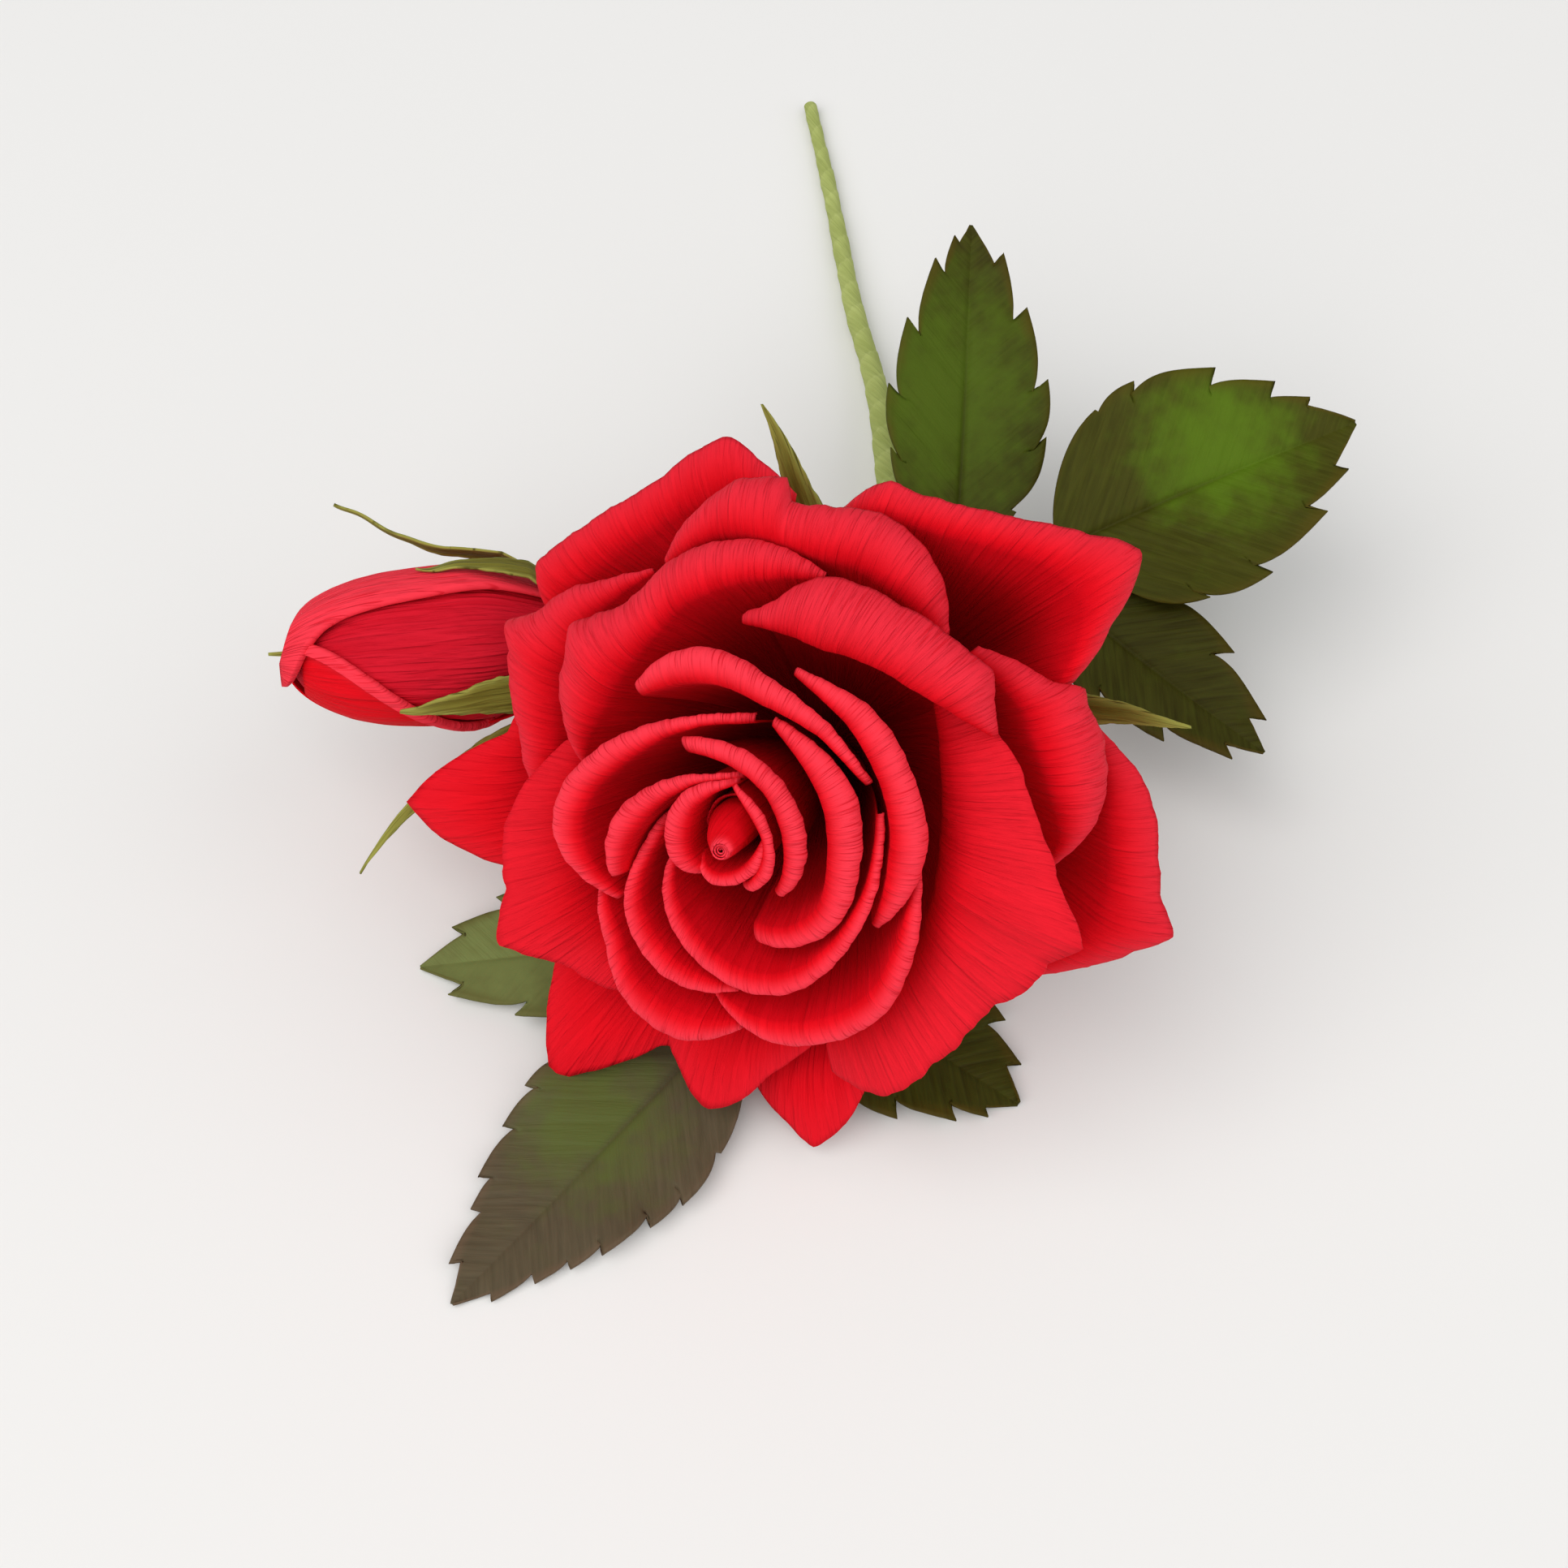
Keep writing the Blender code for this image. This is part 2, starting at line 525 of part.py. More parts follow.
def stem_place(path, level):
    """Where the stem's middle line crosses a plane across Y."""
    for first, last in zip(path, path[1:]):
        if first.y <= level <= last.y:
            return first.lerp(last, (level - first.y) / (last.y - first.y))
    return path[-1]


def joined_route(path, route, offset):
    """A side wire's route with its end laid along the main stem at the joint."""
    ends = [stem_place(path, level) + Vector((offset[0], 0.0, offset[1]))
            for level in (JOINT_START, JOINT_END)]
    return smooth_path([Vector(point) for point in route], 3) + ends


def make_joint(path, material, rose):
    """The crepe strip wound round the main stem and the three side wires together."""
    rods = ((STEM_THICK_RADIUS, (0.0, 0.0)), (BUD_STEM_RADIUS, BUD_STEM_OFFSET),
            (STALK_RADIUS, UPPER_STALK_OFFSET), (STALK_RADIUS, LOWER_STALK_OFFSET))
    bm = bmesh.new()
    rings = []
    for level in (JOINT_START + GLUE_GAP, JOINT_END - GLUE_GAP):
        middle = stem_place(path, level)
        for clearance in (JOINT_CLEARANCE, JOINT_CLEARANCE + JOINT_PAPER):
            ring = []
            for step in range(JOINT_SIDES):
                turn = math.tau * step / JOINT_SIDES
                out = (math.cos(turn), math.sin(turn))
                radius, offset = max(
                    rods, key=lambda rod: rod[0] + rod[1][0] * out[0] + rod[1][1] * out[1])
                ring.append(bm.verts.new(middle + Vector((
                    offset[0] + (radius + clearance) * out[0], 0.0,
                    offset[1] + (radius + clearance) * out[1]))))
            rings.append(ring)
    inner_low, outer_low, inner_high, outer_high = rings
    for first, last in ((outer_low, outer_high), (inner_low, inner_high),
                        (inner_low, outer_low), (inner_high, outer_high)):
        for step in range(JOINT_SIDES):
            after = (step + 1) % JOINT_SIDES
            bm.faces.new((first[step], first[after], last[after], last[step]))
    add_object("stem_joint_wrap", bm, material, rose)


def make_stem(path, wire, green, rose):
    """Floral wire with a strip of green crepe wound round it, thicker where stalks are bound in."""
    swept("stem_wire", path, lambda share: WIRE_RADIUS, 6, wire, rose)

    def wrap_radius(share):
        tapered = max(0.0, share - STEM_TAPER_START) / (1.0 - STEM_TAPER_START)
        return STEM_THICK_RADIUS + (STEM_END_RADIUS - STEM_THICK_RADIUS) * tapered

    wrap = path[2:]
    wrap[0] = wrap[0] + (wrap[1] - wrap[0]).normalized() * GLUE_GAP
    swept("stem_wrap", wrap, wrap_radius, 8, green, rose, bore=WIRE_RADIUS + GLUE_GAP)


def bud_body_radius(share):
    """Radius of the bud under its outer layers at a share of its length, closing at its round end."""
    share = min(max(share, 0.0), 1.0)
    return five_point(BUD_RADII, 2.0 * share - 1.0) * math.sqrt(1.0 - share ** BUD_END_POWER)


def bud_petal_point(petal, length, across, along, main_share):
    """A place on a bud petal: round the bud from its hidden edge, then round its folded edge."""
    share = petal.length * along ** BUD_ROW_POWER
    first = petal.foot_start + (petal.tip_start - petal.foot_start) * share
    last = petal.foot_end + (petal.tip_end - petal.foot_end) * share
    radius = bud_body_radius(share) + (petal.layer - 2) * BUD_LAYER
    lift = petal.layer * BUD_LAYER * share ** BUD_END_POWER
    part = (across + 1.0) / 2.0
    if part <= main_share:
        angle = math.radians(first + (last - first) * part / main_share)
    else:
        back = (part - main_share) / (1.0 - main_share)
        turned_by = math.pi * min(back / BUD_FOLD_TURN_SHARE, 1.0)
        flat = max(back - BUD_FOLD_TURN_SHARE, 0.0) / (1.0 - BUD_FOLD_TURN_SHARE)
        forwards = math.copysign(1.0, last - first)
        out = BUD_FOLD_RADIUS * (1.0 - math.cos(turned_by))
        radius += out
        lift += out * share ** BUD_END_POWER
        folded = max(five_point(petal.flap, 2.0 * along - 1.0), BUD_LEAST_FLAP)
        angle = math.radians(last - forwards * folded * flat)
        angle += forwards * BUD_FOLD_RADIUS * math.sin(turned_by) / radius
    return Vector((radius * math.cos(angle), radius * math.sin(angle),
                   2 * GLUE_GAP + share * length + lift))


def make_bud(red, green, sepal_green, rose, stem):
    """A closed bud: a cone with three petals wrapped round it, in its own calyx with five sepals."""
    foot, tip, face = Vector(BUD_FOOT), Vector(BUD_TIP), Vector(BUD_FACE)
    length = (tip - foot).length
    ahead = (tip - foot).normalized()
    front = (face - ahead * face.dot(ahead)).normalized()
    above = ahead.cross(front)
    bud = bpy.data.objects.new("bud", None)
    bpy.context.collection.objects.link(bud)
    bud.parent = rose
    bud.matrix_local = Matrix.Translation(foot) @ Matrix((front, above, ahead)).transposed().to_4x4()

    profile = [(0.0, GLUE_GAP)]
    for share in BUD_CORE_SHARES:
        profile.append((bud_body_radius(share) - 2 * BUD_LAYER, GLUE_GAP + share * length))
    profile.append((0.0, BUD_CORE_TOP_SHARE * length))
    turned("bud_core", profile, 14, red, bud)

    for petal in BUD_PETALS:
        widest = max(abs(petal.foot_end - petal.foot_start), abs(petal.tip_end - petal.tip_start))
        main_columns = round(widest / BUD_COLUMN_ANGLE)
        columns = main_columns + (BUD_FOLD_COLUMNS if petal.flap else 0)

        def place(across, along, petal=petal, main_share=main_columns / columns):
            return bud_petal_point(petal, length, across, along, main_share)

        sheet(petal.name, columns, BUD_ROWS, place, PETAL_PAPER, red, bud)

    low = -BUD_CALYX_LENGTH
    profile = ((0.0, low), (BUD_STEM_RADIUS, low), (BUD_CALYX_WAIST[0], BUD_CALYX_WAIST[1] * low),
               (BUD_CALYX_RADIUS, -CALYX_LIP), (BUD_CALYX_RADIUS, 0.0), (0.0, 0.0))
    turned("bud_calyx", profile, 14, green, bud)

    for sepal in BUD_SEPALS:
        def place(across, along, sepal=sepal):
            share = sepal.length * along / length
            angle = math.radians(sepal.start + sepal.swing * along ** SEPAL_SWING_POWER)
            half = SEPAL_TIP_HALF_WIDTH + sepal.half_width * sepal_swell(along)
            body = five_point(BUD_RADII, 2.0 * min(share, 1.0) - 1.0) + BUD_LAYER + BUD_SEPAL_CLEARANCE
            opened = min(along / BUD_SEPAL_OPENED, 1.0) ** 0.5
            radius = BUD_CALYX_RADIUS + GLUE_GAP + (body - BUD_CALYX_RADIUS - GLUE_GAP) * opened
            radius += sepal.lift * along ** 3
            outward = Vector((math.cos(angle), math.sin(angle), 0.0))
            aside = Vector((-math.sin(angle), math.cos(angle), 0.0))
            dip = (half * across) ** 2 / (2.0 * radius)
            return (outward * (radius - dip) + aside * (half * across)
                    + Vector((0, 0, sepal.length * along - BUD_SEPAL_FOOT)))

        sheet(sepal.name, 2, 7, place, SEPAL_PAPER, sepal_green, bud)

    neck = foot - ahead * (BUD_CALYX_LENGTH + GLUE_GAP)
    bend = neck - ahead * BUD_NECK_LENGTH
    route = joined_route(stem, [neck, bend] + list(BUD_STEM_ROUTE), BUD_STEM_OFFSET)
    swept("bud_stem", route, lambda share: BUD_STEM_RADIUS, 8, green, rose)


def blade_half_width(leaf, along):
    """A pointed oval on a short stalk, widest a little below its middle."""
    share = min(max((along - LEAF_STALK_SHARE) / (1.0 - LEAF_STALK_SHARE), 0.0), 1.0)
    swell = max(math.sin(math.pi * share ** LEAF_WIDE_POWER), 0.0) ** LEAF_ROUND_POWER
    return LEAF_FOOT_HALF_WIDTH * (1.0 - LEAF_STALK_TAPER * along) + leaf.half_width * swell


def make_leaf(leaf, material, rose):
    """A toothed blade of two crepe halves joined along the midrib, folded up a little from it."""
    foot, tip = Vector(leaf.foot), Vector(leaf.tip)
    ahead = (tip - foot).normalized()
    face = Vector(leaf.face)
    face = (face - ahead * face.dot(ahead)).normalized()
    aside = ahead.cross(face)
    fold = math.radians(leaf.fold)
    rows = 2 * LEAF_TEETH + 2

    def place(across, along):
        step = round(along * rows)
        half = blade_half_width(leaf, along)
        middle = foot + (tip - foot) * along + face * (leaf.bow * math.sin(math.pi * along))
        on_edge = abs(across) > 0.99
        lean = 0.0
        if on_edge and step % 2 == 1 and 1 < step < rows - 1:
            half += TOOTH_DEPTH
            lean = TOOTH_LEAN
        out = half * across
        return (middle + aside * (out * math.cos(fold)) + face * (abs(out) * math.sin(fold))
                + ahead * lean)

    return sheet(leaf.name, 4, rows, place, LEAF_PAPER, material, rose)


def settle(rose):
    """Move the whole rose so that its box stands on z = 0 with its middle over the origin."""
    bpy.context.view_layer.update()
    graph = bpy.context.evaluated_depsgraph_get()
    places = []
    for piece in bpy.data.objects:
        if piece.type == "MESH":
            mesh = piece.evaluated_get(graph).to_mesh()
            places.extend(piece.matrix_world @ vert.co for vert in mesh.vertices)
    low = [min(place[side] for place in places) for side in range(3)]
    high = [max(place[side] for place in places) for side in range(3)]
    rose.location = (-(low[0] + high[0]) / 2, -(low[1] + high[1]) / 2, -low[2])


def build():
    clear_scene()
    red = paper("Crepe_red", (0.76, 0.012, 0.022), 0.85)
    green = paper("Crepe_stem_green", (0.35, 0.47, 0.14), 0.8)
    sepal_green = paper("Crepe_sepal_olive", (0.16, 0.20, 0.04), 0.8)
    leaf_green = paper("Crepe_leaf_green", (0.055, 0.09, 0.018), 0.75)
    wire = steel("Floral_wire")

    axis = Vector((-math.cos(BLOOM_ELEVATION) * math.sin(BLOOM_TURN),
                   -math.cos(BLOOM_ELEVATION) * math.cos(BLOOM_TURN),
                   math.sin(BLOOM_ELEVATION)))
    up = Vector((0.0, axis.z, -axis.y)).normalized()
    right = up.cross(axis)
    base = Vector((0.0, 0.0, BLOOM_LIFT))

    rose = bpy.data.objects.new("rose", None)
    bloom = bpy.data.objects.new("bloom", None)
    for empty in (rose, bloom):
        bpy.context.collection.objects.link(empty)
    bloom.parent = rose
    bloom.matrix_local = Matrix.Translation(base) @ Matrix((right, up, axis)).transposed().to_4x4()

    make_core(red, bloom)
    for petal in PETALS:
        make_petal(petal, red, bloom)

    widest = max(petal_sections(petal, across)[2]
                 for petal in PETALS for across in (-1.0, -0.5, 0.0, 0.5, 1.0))
    foot = base_height(widest) - GLUE_GAP
    make_receptacle(green, bloom, foot)
    calyx_top = foot - PETAL_PAPER - GLUE_GAP
    make_calyx(green, bloom, calyx_top)
    for sepal in SEPALS:
        make_sepal(sepal, sepal_green, bloom, calyx_top - CALYX_LIP / 2)

    stem = stem_path(base, axis, foot, calyx_top - CALYX_LENGTH)
    make_stem(stem, wire, green, rose)
    make_joint(stem, green, rose)
    make_bud(red, green, sepal_green, rose, stem)
    for name, route, offset in (("upper_leaf_stalk", UPPER_STALK_ROUTE, UPPER_STALK_OFFSET),
                                ("lower_leaf_stalk", LOWER_STALK_ROUTE, LOWER_STALK_OFFSET)):
        path = joined_route(stem, list(reversed(route)), offset)
        swept(name, path, lambda share: STALK_RADIUS, 6, green, rose)
    for leaf in UPPER_LEAVES + LOWER_LEAVES:
        make_leaf(leaf, leaf_green, rose)
    settle(rose)


build()
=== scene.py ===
import math
from collections import namedtuple

import bpy
import numpy as np
from mathutils import Matrix, Vector


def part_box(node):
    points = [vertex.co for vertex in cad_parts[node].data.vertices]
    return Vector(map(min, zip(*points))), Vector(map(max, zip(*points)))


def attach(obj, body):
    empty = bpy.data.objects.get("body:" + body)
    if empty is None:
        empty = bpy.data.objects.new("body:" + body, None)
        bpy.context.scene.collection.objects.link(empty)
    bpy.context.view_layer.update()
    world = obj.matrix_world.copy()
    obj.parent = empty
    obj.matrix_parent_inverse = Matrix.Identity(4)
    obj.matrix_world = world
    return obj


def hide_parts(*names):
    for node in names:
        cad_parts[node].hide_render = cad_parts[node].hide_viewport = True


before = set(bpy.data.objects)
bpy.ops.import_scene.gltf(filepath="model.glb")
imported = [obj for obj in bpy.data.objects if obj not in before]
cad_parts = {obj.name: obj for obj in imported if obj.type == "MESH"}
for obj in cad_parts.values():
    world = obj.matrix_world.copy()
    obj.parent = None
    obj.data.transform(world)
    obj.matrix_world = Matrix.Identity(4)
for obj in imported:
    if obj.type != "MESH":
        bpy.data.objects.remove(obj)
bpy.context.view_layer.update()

# The table
# The rose lies on a plain pale table top in soft daylight that comes from the upper left, and the
# camera looks down on it. Every piece is shaped in the rose's own frame, whose zero point lies
# under the foot of the bloom, and rose_place is where that point lies in the part's frame.
CORE_LOWEST_CORNER = Vector((-0.011837, -0.027769, 0.040225))
TABLE_COLOUR = "#ECEDED"
TABLE_SHADE = "#E7E7E6"
TABLE_SIZE = 6.0
DAYLIGHT = "#FFFCF8"
SKY = "#FBFCFF"
SKY_STRENGTH = 0.34
rose_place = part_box("core_roll")[0] - CORE_LOWEST_CORNER
bpy.context.scene.view_settings.view_transform = "Standard"


def linear(hex_colour):
    """An sRGB hex colour as linear red, green and blue, with 1 for alpha."""
    channels = [int(hex_colour[place:place + 2], 16) / 255 for place in (1, 3, 5)]
    return [c / 12.92 if c <= 0.04045 else ((c + 0.055) / 1.055) ** 2.4 for c in channels] + [1.0]


def add_node(material, kind, settings, inputs):
    """Add a node, set its properties, and give its inputs a value or another node's output."""
    node = material.node_tree.nodes.new(kind)
    for name, value in settings.items():
        setattr(node, name, value)
    for socket, value in inputs.items():
        if isinstance(value, bpy.types.NodeSocket):
            material.node_tree.links.new(value, node.inputs[socket])
        else:
            node.inputs[socket].default_value = value
    return node


bpy.ops.object.select_all(action="DESELECT")
bpy.ops.mesh.primitive_plane_add(size=TABLE_SIZE, location=(0.0, 0.0, 0.0))
table = bpy.context.active_object
table.name = "table_top"
painted = bpy.data.materials.new("table_matt_paint")
painted.use_nodes = True
grain = add_node(painted, "ShaderNodeTexNoise", {}, {"Scale": 3.0, "Detail": 2.0})
tint = add_node(painted, "ShaderNodeMix", {"data_type": "RGBA"},
                {0: grain.outputs["Fac"], 6: linear(TABLE_COLOUR), 7: linear(TABLE_SHADE)})
surface = painted.node_tree.nodes["Principled BSDF"]
painted.node_tree.links.new(tint.outputs[2], surface.inputs["Base Color"])
surface.inputs["Roughness"].default_value = 0.9
table.data.materials.append(painted)

sky = bpy.data.worlds.new("soft_room")
bpy.context.scene.world = sky
sky.use_nodes = True
sky.node_tree.nodes["Background"].inputs["Color"].default_value = linear(SKY)
sky.node_tree.nodes["Background"].inputs["Strength"].default_value = SKY_STRENGTH

for name, place, size, power in (("window", (-1.10, -1.10, 2.2), 3.3, 72.0),
                                 ("window_bounce", (1.70, -0.70, 1.7), 3.0, 24.0)):
    bpy.ops.object.light_add(type="AREA", location=Vector(place))
    lamp = bpy.context.active_object
    lamp.name = name
    lamp.data.size = size
    lamp.data.energy = power
    lamp.data.color = linear(DAYLIGHT)[:3]
    lamp.rotation_euler = (-Vector(place)).to_track_quat("-Z", "Y").to_euler()

CAMERA_PLACE = Vector((-0.0029, -0.1949, 0.3469))
CAMERA_TILT = math.radians(58.0)
CAMERA_LENS = 55.0
CAMERA_SENSOR = 36.0
bpy.ops.object.camera_add(location=CAMERA_PLACE + rose_place,
                          rotation=(math.radians(90.0) - CAMERA_TILT, 0.0, 0.0))
camera = bpy.context.active_object
camera.data.lens = CAMERA_LENS
camera.data.sensor_width = CAMERA_SENSOR
bpy.context.scene.camera = camera

# The rolled core
# A narrow strip of the petals' red crepe paper, rolled tight and glued on the tip of the cone, with
# the end of the roll showing as a small spiral in the middle of the bloom.
BLOOM_LIFT = 0.0385
BLOOM_ELEVATION = math.radians(39.6)
BLOOM_TURN = math.radians(21.5)
CORE_FOOT = 0.0047
CORE_TOP = 0.0412
CORE_PAPER = 0.00022
CORE_INNER = 0.00058
CORE_HOLLOW = 0.0003
CORE_TURNS = 3.5
CORE_LEVELS = (0.0047, 0.0110, 0.0200, 0.0300, 0.0340, 0.0380, 0.0403, 0.0412)
CORE_RADII = (0.0015, 0.0015, 0.0025, 0.0035, 0.0035, 0.0027, 0.0018, 0.0013)
CORE_ASIDE = (0.0, 0.0, -0.0003, -0.0005, -0.0005, -0.0003, 0.0, 0.0)
CORE_UP = (0.0, 0.0, 0.0006, 0.0013, 0.0014, 0.0008, 0.0002, 0.0)

bloom_axis = Vector((-math.cos(BLOOM_ELEVATION) * math.sin(BLOOM_TURN),
                     -math.cos(BLOOM_ELEVATION) * math.cos(BLOOM_TURN),
                     math.sin(BLOOM_ELEVATION)))
bloom_up = Vector((0.0, bloom_axis.z, -bloom_axis.y)).normalized()
bloom_right = bloom_up.cross(bloom_axis)
rose_frame = Matrix.Translation(rose_place)


def frame_at(place, *axes):
    """The frame whose zero point is at a place in the rose's frame, with these three axes."""
    return Matrix.Translation(rose_place + place) @ Matrix(axes).transposed().to_4x4()


bloom_base = Vector((0.0, 0.0, BLOOM_LIFT))
bloom_frame = frame_at(bloom_base, bloom_right, bloom_up, bloom_axis)


def waves(seed, lengths, heights):
    """A smooth uneven line: the sum of waves of these lengths and heights, with chance offsets."""
    chance = np.random.RandomState(seed)
    offsets = chance.uniform(0.0, math.tau, len(lengths))

    def line(place):
        return sum(height * np.sin(math.tau * place / length + offset)
                   for length, height, offset in zip(lengths, heights, offsets))
    return line


def crepe_sheet(name, columns, rows, bend, placed, paper=None, even=True):
    """A flat cut sheet of crepe, bent to its shape: bend takes places across and along the sheet
    and gives the points, and how far each lies across and down the paper's grain."""
    bpy.ops.object.select_all(action="DESELECT")
    bpy.ops.mesh.primitive_grid_add(x_subdivisions=columns, y_subdivisions=rows, size=1.0)
    piece = bpy.context.active_object
    piece.name = name
    flat = np.zeros(len(piece.data.vertices) * 3)
    piece.data.vertices.foreach_get("co", flat)
    flat = flat.reshape(-1, 3)
    column = np.rint((flat[:, 0] + 0.5) * columns).astype(int)
    row = np.rint((flat[:, 1] + 0.5) * rows).astype(int)
    across = np.linspace(-1.0, 1.0, columns + 1)[:, None]
    along = np.linspace(0.0, 1.0, rows + 1)[None, :]
    points, over, down, edge = bend(across + 0.0 * along, along + 0.0 * across)
    piece.data.vertices.foreach_set("co", points[column, row].ravel())
    piece.data.transform(placed)
    corners = np.zeros(len(piece.data.loops), int)
    piece.data.loops.foreach_get("vertex_index", corners)
    layer = piece.data.uv_layers[0]
    layer.name = "crepe"
    uv = np.stack((over[column, row], down[column, row]), axis=1)[corners]
    layer.data.foreach_set("uv", uv.ravel())
    rim = piece.data.attributes.new("rim", "FLOAT", "POINT")
    rim.data.foreach_set("value", edge[column, row].astype(np.float32))
    if paper:
        thicken(piece, paper, 0.0, even)
    bpy.ops.object.shade_smooth()
    return piece


def thicken(piece, paper, side, even=False):
    """Give a sheet its paper's thickness, laid on both sides at 0, inwards at -1 or outwards at 1."""
    solid = piece.modifiers.new("paper", "SOLIDIFY")
    solid.thickness = paper
    solid.offset = side
    solid.use_even_offset = even
    bpy.ops.object.modifier_apply(modifier="paper")


def dress(piece, material, node):
    """Give a piece its material and slot, and let it ride on the part in place of its node."""
    piece.data.materials.append(material)
    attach(piece, "root")
    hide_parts(node)


def lifted(points, relief):
    """Move a sheet's points off its surface by relief."""
    side = np.gradient(points, axis=0)
    up = np.gradient(points, axis=1)
    normal = np.cross(side, up)
    length = np.linalg.norm(normal, axis=2, keepdims=True)
    return points + normal / np.maximum(length, 1e-12) * relief[:, :, None]


# Crepe paper is dyed through and matte. Its gathers are fine ridges along the paper's grain, about
# 0.8 mm apart, which give a petal its silky streaks. A petal's foot has painted shade in a deeper
# red, its rolled rim a paler painted highlight, and the rim's short hairline creases painted shade.
RED_FOOT_SHADE = "#9C0107"
RED_VALLEY = "#D40213"
RED_CREST = "#E6081B"
# Painted highlight colour for the rolled rims.
RED_RIM_HIGHLIGHT = "#FA3C4E"
# A dimmer painted highlight for the rims of the large and outer petals, which lie lower in the bloom's
# shade.
RED_DIMMED_RIM_HIGHLIGHT = "#E62C3E"
# Painted shade colour for the hairline creases on the rims.
RED_CREASE_SHADE = "#DC1829"
GATHER = 0.0008
CREASE_WIDTH = 0.00028
CREASE_LENGTH = 0.0065
RIM_ABOVE = 0.62


def crepe_paper(name, foot, valley, crest, edge, crease, relief=0.00016, roughness=0.75):
    """Dyed crepe paper, from its foot colour, painted shade on a petal, through its streaks to its edge
    colour, a painted highlight on a petal's rim, which has painted shade in its hairline creases. The
    rim attribute is 0 at the foot, RIM_ABOVE at the top of the wall and 1 on the rolled rim."""
    material = bpy.data.materials.new(name)
    material.use_nodes = True
    paper_map = add_node(material, "ShaderNodeUVMap", {"uv_map": "crepe"}, {})
    patterns = []
    for width, length, detail, low, high in (
            (GATHER, 16 * GATHER, 3.0, 0.34, 0.66), (5 * GATHER, 40 * GATHER, 2.0, 0.32, 0.68),
            (CREASE_WIDTH, CREASE_LENGTH, 1.0, 0.58, 0.74)):
        place = add_node(material, "ShaderNodeMapping", {}, {
            "Vector": paper_map.outputs["UV"], "Scale": (1 / width, 1 / length, 1.0)})
        noise = add_node(material, "ShaderNodeTexNoise", {"noise_dimensions": "2D"}, {
            "Vector": place.outputs["Vector"], "Scale": 1.0, "Detail": detail, "Distortion": 0.3})
        patterns.append(add_node(material, "ShaderNodeMapRange", {}, {
            "Value": noise.outputs["Fac"], "From Min": low, "From Max": high}).outputs["Result"])
    gathers, broad, hairlines = patterns
    rim = add_node(material, "ShaderNodeAttribute", {"attribute_name": "rim"}, {})
    # Painted shade: the darker foot colour fills the foot and fades out by the top of the wall.
    wall_share = add_node(material, "ShaderNodeMapRange", {"interpolation_type": "SMOOTHSTEP"}, {
        "Value": rim.outputs["Fac"], "From Min": 0.0, "From Max": RIM_ABOVE})
    # Painted highlight: on a petal the edge colour lightens the rolled rim.
    edge_colour_and_highlight_share = add_node(material, "ShaderNodeMapRange", {"interpolation_type": "SMOOTHSTEP"}, {
        "Value": rim.outputs["Fac"], "From Min": RIM_ABOVE, "From Max": 1.0, "To Max": 0.9})
    # Painted shade: the crease colour darkens hairlines over the rim.
    crease_shade_share = add_node(material, "ShaderNodeMath", {"operation": "MULTIPLY"}, {
        0: edge_colour_and_highlight_share.outputs["Result"], 1: hairlines})
    soft_gathers = add_node(material, "ShaderNodeMath", {"operation": "MULTIPLY_ADD"}, {
        0: gathers, 1: 0.55, 2: 0.0})
    streak_share = add_node(material, "ShaderNodeMath", {"operation": "MULTIPLY_ADD"}, {
        0: broad, 1: 0.45, 2: soft_gathers.outputs["Value"]})
    colour = add_node(material, "ShaderNodeMix", {"data_type": "RGBA"}, {
        0: streak_share.outputs["Value"], 6: linear(valley), 7: linear(crest)}).outputs[2]
    for share, layer in ((edge_colour_and_highlight_share.outputs["Result"], edge), (crease_shade_share.outputs["Value"], crease)):
        colour = add_node(material, "ShaderNodeMix", {"data_type": "RGBA"}, {
            0: share, 6: colour, 7: linear(layer)}).outputs[2]
    colour = add_node(material, "ShaderNodeMix", {"data_type": "RGBA"}, {
        0: wall_share.outputs["Result"], 6: linear(foot), 7: colour}).outputs[2]
    ridges = add_node(material, "ShaderNodeMath", {"operation": "MULTIPLY_ADD"}, {
        0: broad, 1: 0.9, 2: gathers})
    height = add_node(material, "ShaderNodeMath", {"operation": "MULTIPLY_ADD"}, {
        0: crease_shade_share.outputs["Value"], 1: -0.5, 2: ridges.outputs["Value"]})
    bump = add_node(material, "ShaderNodeBump", {}, {
        "Height": height.outputs["Value"], "Distance": relief})
    shader = material.node_tree.nodes["Principled BSDF"]
    material.node_tree.links.new(colour, shader.inputs["Base Color"])
    material.node_tree.links.new(bump.outputs["Normal"], shader.inputs["Normal"])
    shader.inputs["Roughness"].default_value = roughness
    shader.inputs["IOR"].default_value = 1.45
    shader.inputs["Specular IOR Level"].default_value = 0.10
    shader.inputs["Sheen Weight"].default_value = 0.04
    shader.inputs["Sheen Roughness"].default_value = 0.5
    shader.inputs["Sheen Tint"].default_value = linear(edge)
    return material


red_crepe = crepe_paper("red_crepe_paper", RED_FOOT_SHADE, RED_VALLEY, RED_CREST, RED_RIM_HIGHLIGHT, RED_CREASE_SHADE)
# The large and outer petals get the dimmer painted highlight on their rims, as they lie lower in shade.
ridged_crepe = crepe_paper("ridged_red_crepe_paper", RED_FOOT_SHADE, RED_VALLEY, RED_CREST, RED_DIMMED_RIM_HIGHLIGHT,
                           RED_CREASE_SHADE, relief=0.00019)


